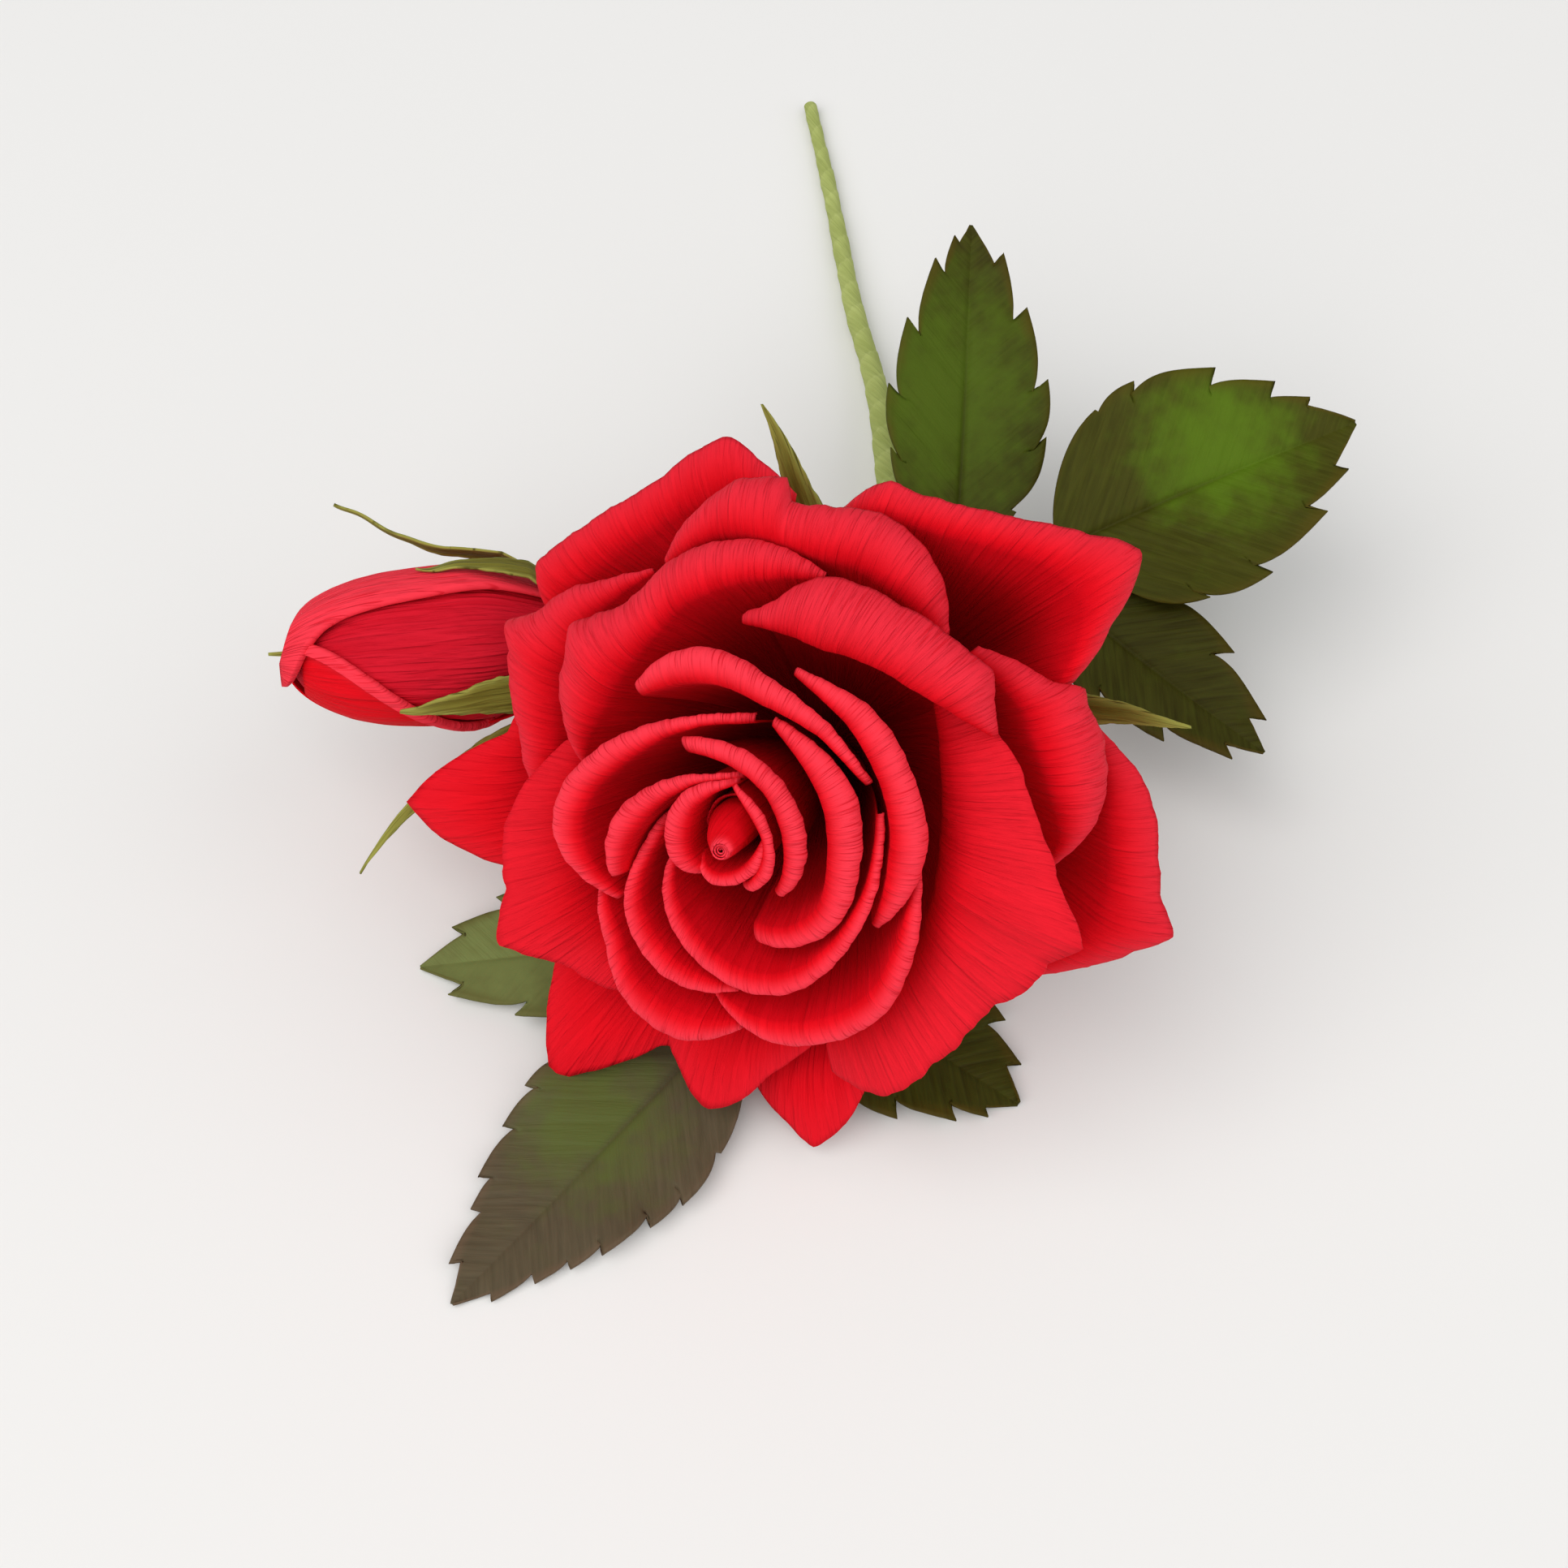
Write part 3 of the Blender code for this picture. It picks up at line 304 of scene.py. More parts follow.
def core_bend(across, along):
    """The roll: a blunt cone, wound in to a small spiral hollow at its tip."""
    turn = math.pi * (across + 1.0) * CORE_TURNS
    level = CORE_FOOT + (CORE_TOP - CORE_FOOT) * along ** 0.8
    radius = np.interp(level, CORE_LEVELS, CORE_RADII) - CORE_INNER * (across + 1.0)
    points = np.stack((np.interp(level, CORE_LEVELS, CORE_ASIDE) + radius * np.cos(turn),
                       np.interp(level, CORE_LEVELS, CORE_UP) + radius * np.sin(turn),
                       level - CORE_HOLLOW * (across + 1.0) * along ** 4), axis=2)
    return points, radius * turn, level, 0.3 + 0.32 * along ** 3 + 0.38 * along ** 40


core = crepe_sheet("rolled_core", 150, 40, core_bend, bloom_frame, CORE_PAPER)
dress(core, red_crepe, "core_roll")

# The heart petals
# Four small petals wrapped close round the core. Each is a cut strip of crepe, cupped over the
# thumbs, with its rim rolled back round a skewer, and glued by its foot to the cone on the wire.
Petal = namedtuple("Petal", "name start end wall roll height turn corner bulge crisp",
                   defaults=(None, 0.0, 1.0))
PETAL_PAPER = 0.0003
NEST_TOP = 0.040
NEST_BASE_RADIUS = 0.0056
NEST_BASE_TOP = 0.005
NEST_BASE_DROP = 0.009
NEST_DROP_SPREAD = 0.030
NEST_DROP_POWER = 0.75
NEST_STEEP = 0.80
NEST_OPEN = 0.60
SHOULDER_DROP = 0.0035
SHOULDER_POWER = 6
COLUMN_WIDTH = 0.00052
WALL_ROWS = 22
ROLL_ROW = math.radians(9.0)
# The rim's painted highlight begins at the first of these turns and is full at the second.
RIM_HIGHLIGHT_FROM = math.radians(30.0)
RIM_HIGHLIGHT_FULL = math.radians(120.0)
ROLL_STEPS = 80


def smooth_line(values, across):
    """Evenly spaced values read as a smooth curve at across, from -1 to 1."""
    spans = len(values) - 1
    place = np.clip((across + 1.0) * spans / 2.0, 0.0, spans - 0.000001)
    index = place.astype(int)
    t = place - index
    ends = np.array([2 * values[0] - values[1]] + list(values) + [2 * values[-1] - values[-2]])
    before, first, last, after = (ends[index + step] for step in range(4))
    slope_in, slope_out = (last - before) / 2, (after - first) / 2
    return ((2 * t ** 3 - 3 * t ** 2 + 1) * first + (t ** 3 - 2 * t ** 2 + t) * slope_in
            + (3 * t ** 2 - 2 * t ** 3) * last + (t ** 3 - t ** 2) * slope_out)


def cup_foot(spread):
    """Radius and height of the foot of the cup that is called spread."""
    radius = NEST_BASE_RADIUS * (1.0 - np.exp(-spread / NEST_BASE_RADIUS))
    return radius, NEST_BASE_TOP - NEST_BASE_DROP * (spread / NEST_DROP_SPREAD) ** NEST_DROP_POWER


def cup_radius(spread, height):
    """Radius of a cup at a height above the bloom's foot: steep inside, open outside."""
    foot_radius, foot_height = cup_foot(spread)
    power = NEST_STEEP + (NEST_OPEN - NEST_STEEP) * np.minimum(spread / NEST_DROP_SPREAD, 1.0)
    share = np.maximum(height - foot_height, 0.0) / (NEST_TOP - foot_height)
    return foot_radius + (spread - foot_radius) * share ** power


def cup_through(radius, height):
    """The cup that passes through a radius and a height, found by halving."""
    low, high = np.full_like(radius, 0.0005), np.full_like(radius, 0.200)
    for _ in range(40):
        middle = (low + high) / 2
        inside = cup_radius(middle, height) < radius
        low, high = np.where(inside, middle, low), np.where(inside, high, middle)
    return (low + high) / 2


def rolled_rim(lean, turn, crisp, roll, back):
    """How far out and up the rim goes from the top of the wall, as it is rolled back by turn. The
    rim reaches out by roll at most, and a crisp one is bent most sharply where it leaves the wall."""
    share = np.linspace(0.0, 1.0, ROLL_STEPS + 1)
    angle = lean[:, :1] + turn * (1.0 - (1.0 - share[None, :]) ** crisp)
    middle = (angle[:, 1:] + angle[:, :-1]) / 2.0
    start = np.zeros((len(lean), 1))
    out = np.concatenate((start, np.cumsum(np.sin(middle), axis=1)), axis=1) / ROLL_STEPS
    up = np.concatenate((start, np.cumsum(np.cos(middle), axis=1)), axis=1) / ROLL_STEPS
    length = roll[:, :1] / out.max(axis=1, keepdims=True)
    place = np.clip(back * ROLL_STEPS, 0.0, ROLL_STEPS - 0.000001)
    index = place.astype(int)
    part = place - index
    sides = [(line[np.arange(len(lean))[:, None], index] * (1.0 - part)
              + line[np.arange(len(lean))[:, None], index + 1] * part) * length for line in (out, up)]
    return sides[0], sides[1], length * back


def make_petal(petal, number, material, ruffle=0.00006, gathers=0.00002, deep=1.3):
    """One crepe petal: cupped wall, rolled rim, gathers along its grain and a slightly uneven rim, with
    painted shade towards its foot and a painted highlight over its rolled rim.
    """
    width = math.radians(petal.end - petal.start) * (max(petal.wall) + 0.5 * max(petal.roll))
    columns = max(36, round(width / COLUMN_WIDTH))
    roll_rows = max(9, round(math.radians(petal.turn) / ROLL_ROW))
    rows = WALL_ROWS + roll_rows
    wall_share = WALL_ROWS / rows
    rim_wave = waves(number, (0.021, 0.0093, 0.0052), (1.0, 0.55, 0.25))
    roll_wave = waves(number + 100, (0.017, 0.0071, 0.0039), (1.0, 0.5, 0.25))
    ridge_wave = waves(number + 200, (0.0013, 0.0018, 0.0026, 0.0043), (0.4, 0.55, 0.7, 0.9))
    sway = waves(number + 300, (0.031, 0.013), (0.0006, 0.0003))
    nick = waves(number + 400, (0.0009, 0.0017, 0.0037), (0.00002, 0.00002, 0.00005))

    def wall_radius(spread, level, low, height):
        share = np.clip((level - low) / (height - low), 0.0, 1.0)
        return cup_radius(spread, level) + petal.bulge * np.sin(math.pi * share ** 1.5)

    def bend(across, along):
        over = across * width / 2
        angle = petal.start + (petal.end - petal.start) * (across + 1.0) / 2.0
        wall = smooth_line(petal.wall, across) + ruffle * rim_wave(over)
        roll = smooth_line(petal.roll, across)
        if petal.corner:
            middle, reach, before, after = petal.corner
            aside = np.where(angle < middle, (middle - angle) / before, (angle - middle) / after)
            roll = roll + reach * np.maximum(0.0, 1.0 - aside)
        fade = 1.0 - np.abs(across) ** 8
        roll = roll * (1.0 + 0.02 * roll_wave(over) * fade)
        height = petal.height - SHOULDER_DROP * np.abs(across) ** SHOULDER_POWER
        height = height + ruffle * roll_wave(over + 0.004)
        spread = cup_through(wall, height)
        low = cup_foot(spread)[1]
        step = 0.0002
        lean = np.arctan2(wall_radius(spread, height, low, height)
                          - wall_radius(spread, height - step, low, height), step)
        up = np.minimum(along / wall_share, 1.0)
        level = low + (height - low) * up ** 1.5
        back = np.maximum(along - wall_share, 0.0) / (1.0 - wall_share)
        out, rise, run = rolled_rim(lean, math.radians(petal.turn), petal.crisp, roll + nick(over), back)
        radius = wall_radius(spread, level, low, height) + out
        level = level + rise
        turn = np.radians(angle)
        points = np.stack((radius * np.cos(turn), radius * np.sin(turn), level), axis=2)
        down = height * up ** 1.5 + run
        drift = over + sway(down + 0.7 * over)
        strength = up ** 2 * (0.6 + 0.4 * back)
        relief = gathers * ridge_wave(drift) * strength
        turned = math.radians(petal.turn) * (1.0 - (1.0 - back) ** petal.crisp)
        rolled = np.clip((turned - RIM_HIGHLIGHT_FROM) / (RIM_HIGHLIGHT_FULL - RIM_HIGHLIGHT_FROM), 0.0, 1.0)
        # Painted shade and highlight: deep sets how far up the wall the darker foot colour reaches, and
        # the highlight grows as the rim rolls back.
        rim = RIM_ABOVE * up ** deep + (1.0 - RIM_ABOVE) * rolled
        return lifted(points, relief), over, down, rim

    piece = crepe_sheet(petal.name + "_crepe", columns, rows, bend, bloom_frame, PETAL_PAPER)
    dress(piece, material, petal.name)


heart_petals = (
    Petal("heart_petal_1", -5, 205, (0.0033, 0.0045, 0.0054, 0.0050, 0.0039),
          (0.0002, 0.0003, 0.0003, 0.0003, 0.0002), 0.0315, 60),
    Petal("heart_petal_2", 205, 372, (0.0046, 0.0043, 0.0037, 0.0038, 0.0047),
          (0.0005, 0.0016, 0.0018, 0.0016, 0.0006), 0.0382, 190),
    Petal("heart_petal_3", 84, 232, (0.0082, 0.0070, 0.0057, 0.0051, 0.0050),
          (0.0005, 0.0022, 0.0034, 0.0034, 0.0016), 0.0382, 200),
    Petal("heart_petal_4", 283, 451, (0.0061, 0.0056, 0.0053, 0.0055, 0.0075),
          (0.0012, 0.0018, 0.0012, 0.0015, 0.0007), 0.0380, 200),
)
for number, petal in enumerate(heart_petals):
    make_petal(petal, number + 1, red_crepe, ruffle=0.00003, gathers=0.00001, deep=0.8)

# The inner petals
# Five petals of the first swirl, each tucked behind the last and rolled well back, so that the
# ridges of the crepe run over the rim.
inner_petals = (
    Petal("inner_petal_1", 82, 202, (0.0087, 0.0092, 0.0101, 0.0127, 0.0173),
          (0.0007, 0.0010, 0.0026, 0.0042, 0.0028), 0.0370, 200),
    Petal("inner_petal_2", 308, 480, (0.0092, 0.0081, 0.0082, 0.0104, 0.0134),
          (0.0011, 0.0029, 0.0030, 0.0028, 0.0022), 0.0370, 200),
    Petal("inner_petal_3", 280, 433, (0.0130, 0.0149, 0.0138, 0.0146, 0.0166),
          (0.0030, 0.0035, 0.0045, 0.0042, 0.0012), 0.0355, 200),
    Petal("inner_petal_4", 195, 372, (0.0085, 0.0142, 0.0202, 0.0195, 0.0198),
          (0.0011, 0.0031, 0.0032, 0.0019, 0.0009), 0.0345, 200),
    Petal("inner_petal_5", 165, 268, (0.0094, 0.0118, 0.0174, 0.0208, 0.0231),
          (0.0010, 0.0022, 0.0032, 0.0035, 0.0012), 0.0340, 200),
)
for number, petal in enumerate(inner_petals):
    make_petal(petal, number + 11, red_crepe, ruffle=0.00004)

# The middle petals
# Five wider petals whose rims are rolled back over the last swirl.
middle_petals = (
    Petal("middle_petal_1", 83, 212, (0.0160, 0.0166, 0.0183, 0.0224, 0.0206),
          (0.0012, 0.0016, 0.0040, 0.0048, 0.0016), 0.0345, 200),
    Petal("middle_petal_2", 25, 127, (0.0198, 0.0199, 0.0199, 0.0226, 0.0234),
          (0.0009, 0.0019, 0.0034, 0.0047, 0.0020), 0.0350, 200),
    Petal("middle_petal_3", 327, 432, (0.0223, 0.0220, 0.0224, 0.0232, 0.0240),
          (0.0010, 0.0044, 0.0045, 0.0037, 0.0009), 0.0335, 190),
    Petal("middle_petal_4", 258, 350, (0.0250, 0.0284, 0.0292, 0.0268, 0.0247),
          (0.0010, 0.0036, 0.0038, 0.0029, 0.0007), 0.0315, 180),
    Petal("middle_petal_5", 206, 268, (0.0240, 0.0248, 0.0286, 0.0296, 0.0296),
          (0.0012, 0.0032, 0.0044, 0.0045, 0.0016), 0.0310, 180),
)
for number, petal in enumerate(middle_petals):
    make_petal(petal, number + 21, red_crepe)

# The large petals
# Eight big petals with broad rims. Some are rolled right back, and others are only bent out over
# the edge of the thumb, with a crease pinched into the rim.
large_petals = (
    Petal("large_petal_1", 24, 92,
          (0.0375, 0.0350, 0.0330, 0.0315, 0.0302, 0.0292, 0.0291, 0.0290, 0.0288),
          (0.0008, 0.0060, 0.0090, 0.0093, 0.0099, 0.0104, 0.0083, 0.0036, 0.0012),
          0.0300, 165, (36, 0.0015, 5, 5), 0.0025),
    Petal("large_petal_2", 74, 166,
          (0.0365, 0.0355, 0.0338, 0.0315, 0.0288, 0.0270, 0.0260, 0.0260, 0.0262),
          (0.0010, 0.0047, 0.0065, 0.0067, 0.0070, 0.0094, 0.0090, 0.0046, 0.0008),
          0.0285, 160, (135, 0.0016, 5, 4)),
    Petal("large_petal_3", 284, 395,
          (0.0352, 0.0325, 0.0310, 0.0287, 0.0270, 0.0263, 0.0264, 0.0276, 0.0292),
          (0.0063, 0.0127, 0.0122, 0.0145, 0.0190, 0.0188, 0.0154, 0.0113, 0.0038),
          0.0200, 70, (347, 0.0052, 6, 10), 0.0020, 2.6),
    Petal("large_petal_4", 160, 238, (0.0278, 0.0275, 0.0286, 0.0310, 0.0330),
          (0.0015, 0.0090, 0.0125, 0.0095, 0.0040), 0.0200, 65, (210, 0.0040, 10, 10), 0.0010, 2.4),
    Petal("large_petal_5", 46, 112,
          (0.0375, 0.0383, 0.0388, 0.0390, 0.0385, 0.0392, 0.0400, 0.0390, 0.0378),
          (0.0009, 0.0058, 0.0081, 0.0078, 0.0071, 0.0066, 0.0068, 0.0044, 0.0009),
          0.0240, 150, (85.5, 0.0030, 1, 12)),
    Petal("large_petal_6", -8, 40,
          (0.0410, 0.0428, 0.0425, 0.0416, 0.0413, 0.0411, 0.0406, 0.0393, 0.0380),
          (0.0008, 0.0026, 0.0060, 0.0082, 0.0087, 0.0080, 0.0056, 0.0038, 0.0015),
          0.0210, 150, (24.3, 0.0016, 3, 3)),
    Petal("large_petal_7", 118, 185,
          (0.0375, 0.0370, 0.0365, 0.0355, 0.0343, 0.0330, 0.0325, 0.0328, 0.0338),
          (0.0005, 0.0029, 0.0058, 0.0087, 0.0107, 0.0090, 0.0068, 0.0047, 0.0012),
          0.0200, 150, (149, 0.0027, 5, 3)),
    Petal("large_petal_8", 241, 280, (0.0370, 0.0375, 0.0375, 0.0370, 0.0365),
          (0.0015, 0.0086, 0.0112, 0.0060, 0.0015), 0.0140, 60, (258, 0.0026, 8, 10), 0.0, 2.2),
)
for number, petal in enumerate(large_petals):
    make_petal(petal, number + 31, ridged_crepe, ruffle=0.00008, gathers=0.00003, deep=2.3)

# The outer petals
# Six outermost petals, cut with a point and bent out, so that their tips show all round the bloom.
outer_petals = (
    Petal("outer_petal_1", 23, 78,
          (0.0420, 0.0500, 0.0550, 0.0540, 0.0508, 0.0482, 0.0462, 0.0443, 0.0420),
          (0.0013, 0.0050, 0.0078, 0.0070, 0.0056, 0.0050, 0.0052, 0.0058, 0.0015),
          0.0180, 110, (37.5, 0.0026, 6, 5)),
    Petal("outer_petal_2", 88, 147,
          (0.0425, 0.0435, 0.0440, 0.0430, 0.0420, 0.0420, 0.0420, 0.0420, 0.0420),
          (0.0015, 0.0070, 0.0078, 0.0066, 0.0066, 0.0065, 0.0070, 0.0073, 0.0015),
          0.0130, 100, (98.3, 0.0014, 4, 5)),
    Petal("outer_petal_3", 160, 206, (0.0400, 0.0410, 0.0420, 0.0420, 0.0410),
          (0.0016, 0.0030, 0.0052, 0.0052, 0.0026), 0.0100, 55, (186, 0.0136, 13, 16), 0.0, 2.2),
    Petal("outer_petal_4", 208, 253, (0.0410, 0.0420, 0.0430, 0.0425, 0.0420),
          (0.0020, 0.0050, 0.0072, 0.0058, 0.0020), 0.0105, 52, (233, 0.0112, 14, 12), 0.0, 2.2),
    Petal("outer_petal_5", 256, 304, (0.0415, 0.0425, 0.0430, 0.0410, 0.0400),
          (0.0015, 0.0058, 0.0062, 0.0030, 0.0020), 0.0090, 55, (275, 0.0078, 13, 12), 0.0, 2.2),
    Petal("outer_petal_6", 320, 375,
          (0.0415, 0.0425, 0.0455, 0.0485, 0.0495, 0.0490, 0.0480, 0.0470, 0.0460),
          (0.0010, 0.0027, 0.0053, 0.0082, 0.0083, 0.0072, 0.0070, 0.0060, 0.0022),
          0.0130, 90, (344, 0.0028, 4, 5), 0.0, 1.5),
)
for number, petal in enumerate(outer_petals):
    make_petal(petal, number + 41, ridged_crepe, ruffle=0.00008, gathers=0.00003, deep=3.0)

# The receptacle
# A cone of paper strip and glue wound on the end of the wire, inside the bloom, that every petal is
# glued round by its foot. It is green stem paper, and only its rim could be seen between the feet.
GLUE_GAP = 0.0003
NEST_FOOT = -0.01286
WIRE_RADIUS = 0.0006
WIRE_SOCKET = 0.010
RECEPTACLE_CUPS = (0.080, 0.050, 0.030, 0.018, 0.010, 0.006, 0.0035)
RECEPTACLE_TOP_CUP = 0.0016
STEM_FOOT = "#7A8640"
STEM_VALLEY = "#9EAA60"
STEM_CREST = "#B3BE74"
STEM_EDGE = "#BEC684"
# Painted shade colour for the stem paper's hairline creases.
STEM_CREASE_SHADE = "#8C9850"

# The stem's crepe is a pale yellow green, stretched flat, so that its gathers are faint and silky.
stem_crepe = crepe_paper("stem_green_crepe_paper", STEM_FOOT, STEM_VALLEY, STEM_CREST, STEM_EDGE,
                         STEM_CREASE_SHADE, relief=0.00010, roughness=0.7)

nest_foot = NEST_FOOT - GLUE_GAP


def close_seams(piece):
    """Join the meeting edges of a sheet that is bent round to a closed piece, and face it out."""
    bpy.ops.object.mode_set(mode="EDIT")
    bpy.ops.mesh.select_all(action="SELECT")
    bpy.ops.mesh.remove_doubles(threshold=0.000002)
    bpy.ops.mesh.normals_make_consistent(inside=False)
    bpy.ops.object.mode_set(mode="OBJECT")


def turned_piece(name, outline, around, steps, placed, relief=0.0, seed=1):
    """A sheet wound round its own axis along an outline of (radius, level) points."""
    outline = np.array(outline)
    reach = np.concatenate(([0.0], np.cumsum(np.hypot(*np.diff(outline, axis=0).T))))
    ridges = waves(seed, (0.0011, 0.0017, 0.0029), (1.0, 1.0, 1.0))

    def bend(across, along):
        turn = math.pi * across
        place = along * reach[-1]
        radius = np.interp(place, reach, outline[:, 0])
        level = np.interp(place, reach, outline[:, 1])
        open_side = (1.0 - np.abs(across) ** 6) * np.clip(radius / 0.001, 0.0, 1.0)
        radius = radius + relief * ridges(turn * radius.max()) * open_side
        points = np.stack((radius * np.cos(turn), radius * np.sin(turn), level), axis=2)
        return points, turn * radius.max(), level, 0.35 + 0.25 * ridges(level) / 3.0

    piece = crepe_sheet(name, around, steps, bend, placed)
    close_seams(piece)
    bpy.ops.object.shade_smooth_by_angle(angle=math.radians(40.0))
    return piece


wire_bore = WIRE_RADIUS + GLUE_GAP
foot_clearance = PETAL_PAPER / 2 + GLUE_GAP
cup_feet = [(cup_foot(spread)[0] - foot_clearance, cup_foot(spread)[1]) for spread in RECEPTACLE_CUPS]
socket_end = nest_foot + WIRE_SOCKET + GLUE_GAP
receptacle = turned_piece(
    "receptacle_cone",
    [(0.0, socket_end), (wire_bore, socket_end), (wire_bore, nest_foot), (cup_feet[0][0], nest_foot)]
    + cup_feet[1:] + [(cup_foot(RECEPTACLE_TOP_CUP)[0] - foot_clearance / 2, CORE_FOOT - GLUE_GAP),
                      (0.0, CORE_FOOT - GLUE_GAP)], 40, 60, bloom_frame)
dress(receptacle, stem_crepe, "receptacle")

# The calyx and its sepals
# A green paper cup hides the feet of the outer petals, and five long pointed sepals, folded along
# the middle, are glued round it. They are an olive crepe with yellow green edges and thin tips.
Sepal = namedtuple("Sepal", "name start swing reach height twist")
CALYX_TOP_RADIUS = 0.0062
CALYX_WAIST_RADIUS = 0.0046
CALYX_WAIST_SHARE = 0.35
CALYX_LENGTH = 0.0095
CALYX_LIP = 0.0012
STEM_THICK_RADIUS = 0.0024
SEPAL_PAPER = 0.0004
SEPAL_HALF_WIDTH = 0.0046
SEPAL_TIP_HALF_WIDTH = 0.0002
SEPAL_CHANNEL = 0.0010
SEPAL_FOOT_SHARE = 0.12
SEPAL_WIDTH_POWER = 0.6
SEPAL_SWING_POWER = 1.9
SEPAL_RISE_POWER = 1.35
OLIVE_FOOT = "#5C5420"
OLIVE_VALLEY = "#665F20"
OLIVE_CREST = "#807C32"
OLIVE_EDGE = "#9C9D4C"
# Painted shade colour for the sepal paper's hairline creases.
OLIVE_CREASE_SHADE = "#504A1A"

# Sepal crepe is stretched hard along the blade, so it is streaked from end to end.
sepal_crepe = crepe_paper("sepal_olive_crepe_paper", OLIVE_FOOT, OLIVE_VALLEY, OLIVE_CREST,
                          OLIVE_EDGE, OLIVE_CREASE_SHADE, relief=0.00020, roughness=0.68)

calyx_top = nest_foot - PETAL_PAPER - GLUE_GAP
calyx_low = calyx_top - CALYX_LENGTH
calyx = turned_piece(
    "calyx_cup",
    [(wire_bore, calyx_low), (STEM_THICK_RADIUS, calyx_low),
     (CALYX_WAIST_RADIUS, calyx_low + CALYX_WAIST_SHARE * CALYX_LENGTH),
     (0.5 * (CALYX_WAIST_RADIUS + CALYX_TOP_RADIUS) + 0.0003, calyx_top - 0.35 * CALYX_LENGTH),
     (CALYX_TOP_RADIUS, calyx_top - CALYX_LIP), (CALYX_TOP_RADIUS, calyx_top), (wire_bore, calyx_top),
     (wire_bore, calyx_low)], 96, 90, bloom_frame, relief=0.00005, seed=61)
dress(calyx, stem_crepe, "calyx")


def sepal_swell(along):
    """How wide a sepal is along its length, against its widest place."""
    return np.sin(math.pi * (SEPAL_FOOT_SHARE + (1.0 - SEPAL_FOOT_SHARE) * along) ** SEPAL_WIDTH_POWER)


def make_sepal(sepal, seed, foot_height):
    """A long narrow leaf folded along its middle, a little wavy and twisted towards its thin tip."""
    foot = CALYX_TOP_RADIUS + GLUE_GAP
    bob = waves(seed, (0.023, 0.011), (0.0006, 0.0003))
    edge = waves(seed + 50, (0.0071, 0.0033, 0.0017), (1.0, 0.7, 0.4))
    ridge = waves(seed + 90, (0.0009, 0.0014), (0.00003, 0.00004))

    def bend(across, along):
        out = foot + (sepal.reach - foot) * along
        angle = np.radians(sepal.start + sepal.swing * along ** SEPAL_SWING_POWER)
        level = foot_height + (sepal.height - foot_height) * along ** SEPAL_RISE_POWER
        level = level + bob(out) * along ** 2
        swell = sepal_swell(along)
        half = SEPAL_TIP_HALF_WIDTH + (SEPAL_HALF_WIDTH - SEPAL_TIP_HALF_WIDTH) * swell
        half = half * (1.0 + 0.04 * edge(out + 0.003 * np.sign(across)))
        turn = np.radians(sepal.twist) * along ** 2
        aside = half * across * np.cos(turn)
        lift = half * across * np.sin(turn) - SEPAL_CHANNEL * across ** 2 * swell
        points = np.stack((out * np.cos(angle) - aside * np.sin(angle),
                           out * np.sin(angle) + aside * np.cos(angle), level + lift), axis=2)
        shade = 0.45 + 0.5 * np.abs(across) ** 3 + 0.5 * along ** 3
        return lifted(points, ridge(half * across)), half * across, out, np.clip(shade, 0.0, 1.0)

    piece = crepe_sheet(sepal.name + "_crepe", 14, 90, bend, bloom_frame, SEPAL_PAPER)
    dress(piece, sepal_crepe, sepal.name)


for seed, sepal in enumerate((
        Sepal("sepal_1", 88, 8, 0.056, 0.002, 25),
        Sepal("sepal_2", 20, -8, 0.060, 0.004, -20),
        Sepal("sepal_3", 308, 10, 0.042, -0.006, 20),
        Sepal("sepal_4", 236, -8, 0.042, -0.006, -15),
        Sepal("sepal_5", 168, 28, 0.0740, 0.008, 30))):
    make_sepal(sepal, seed + 60, calyx_top - CALYX_LIP / 2)

# The stem
# A gently curved length of bright floral wire, with a strip of stem green crepe wound round it in
# a slant from the calyx to the straight cut end, where the wire shows.
STEM_END_RADIUS = 0.00125
STEM_TAPER_START = 0.35
NECK_LENGTH = 0.006
STEM_ROUTE = (
    (0.0120, 0.0320, 0.0145), (0.0160, 0.0520, 0.0092), (0.0165, 0.0750, 0.0066),
    (0.0145, 0.1060, 0.0045), (0.0105, 0.1290, 0.0030), (0.0064, 0.1610, 0.0017),
    (0.0025, 0.1863, 0.00125))
ROUTE_STEPS = 3
WRAP_PITCH = 0.0065
WRAP_LAP = 0.00016
WRAP_PAPER = 0.00035
WIRE_BRIGHT = "#C9C9C4"
WIRE_DRAWN = "#A9A9A4"


def smooth_path(points, steps):
    """A smooth curve through the points, as a list of places."""
    points = [Vector(point) for point in points]
    padded = [2 * points[0] - points[1]] + points + [2 * points[-1] - points[-2]]
    path = []
    for before, first, last, after in zip(padded, padded[1:], padded[2:], padded[3:]):
        for step in range(steps):
            t = step / steps
            path.append(0.5 * (2 * first + (last - before) * t
                               + (2 * before - 5 * first + 4 * last - after) * t ** 2
                               + (3 * first - before - 3 * last + after) * t ** 3))
    path.append(points[-1])
    return path


def path_frames(path):
    """Places, and the two directions square to the path at each, without twist."""
    side = Vector((1, 0, 0))
    sides, ups = [], []
    for index in range(len(path)):
        ahead = (path[min(index + 1, len(path) - 1)] - path[max(index - 1, 0)]).normalized()
        side = (side - ahead * side.dot(ahead)).normalized()
        sides.append(side.copy())
        ups.append(ahead.cross(side))
    return np.array(path), np.array(sides), np.array(ups)


def steady(radius):
    """A wire's radius where it stays the same from end to end."""
    return lambda share: radius + 0.0 * share


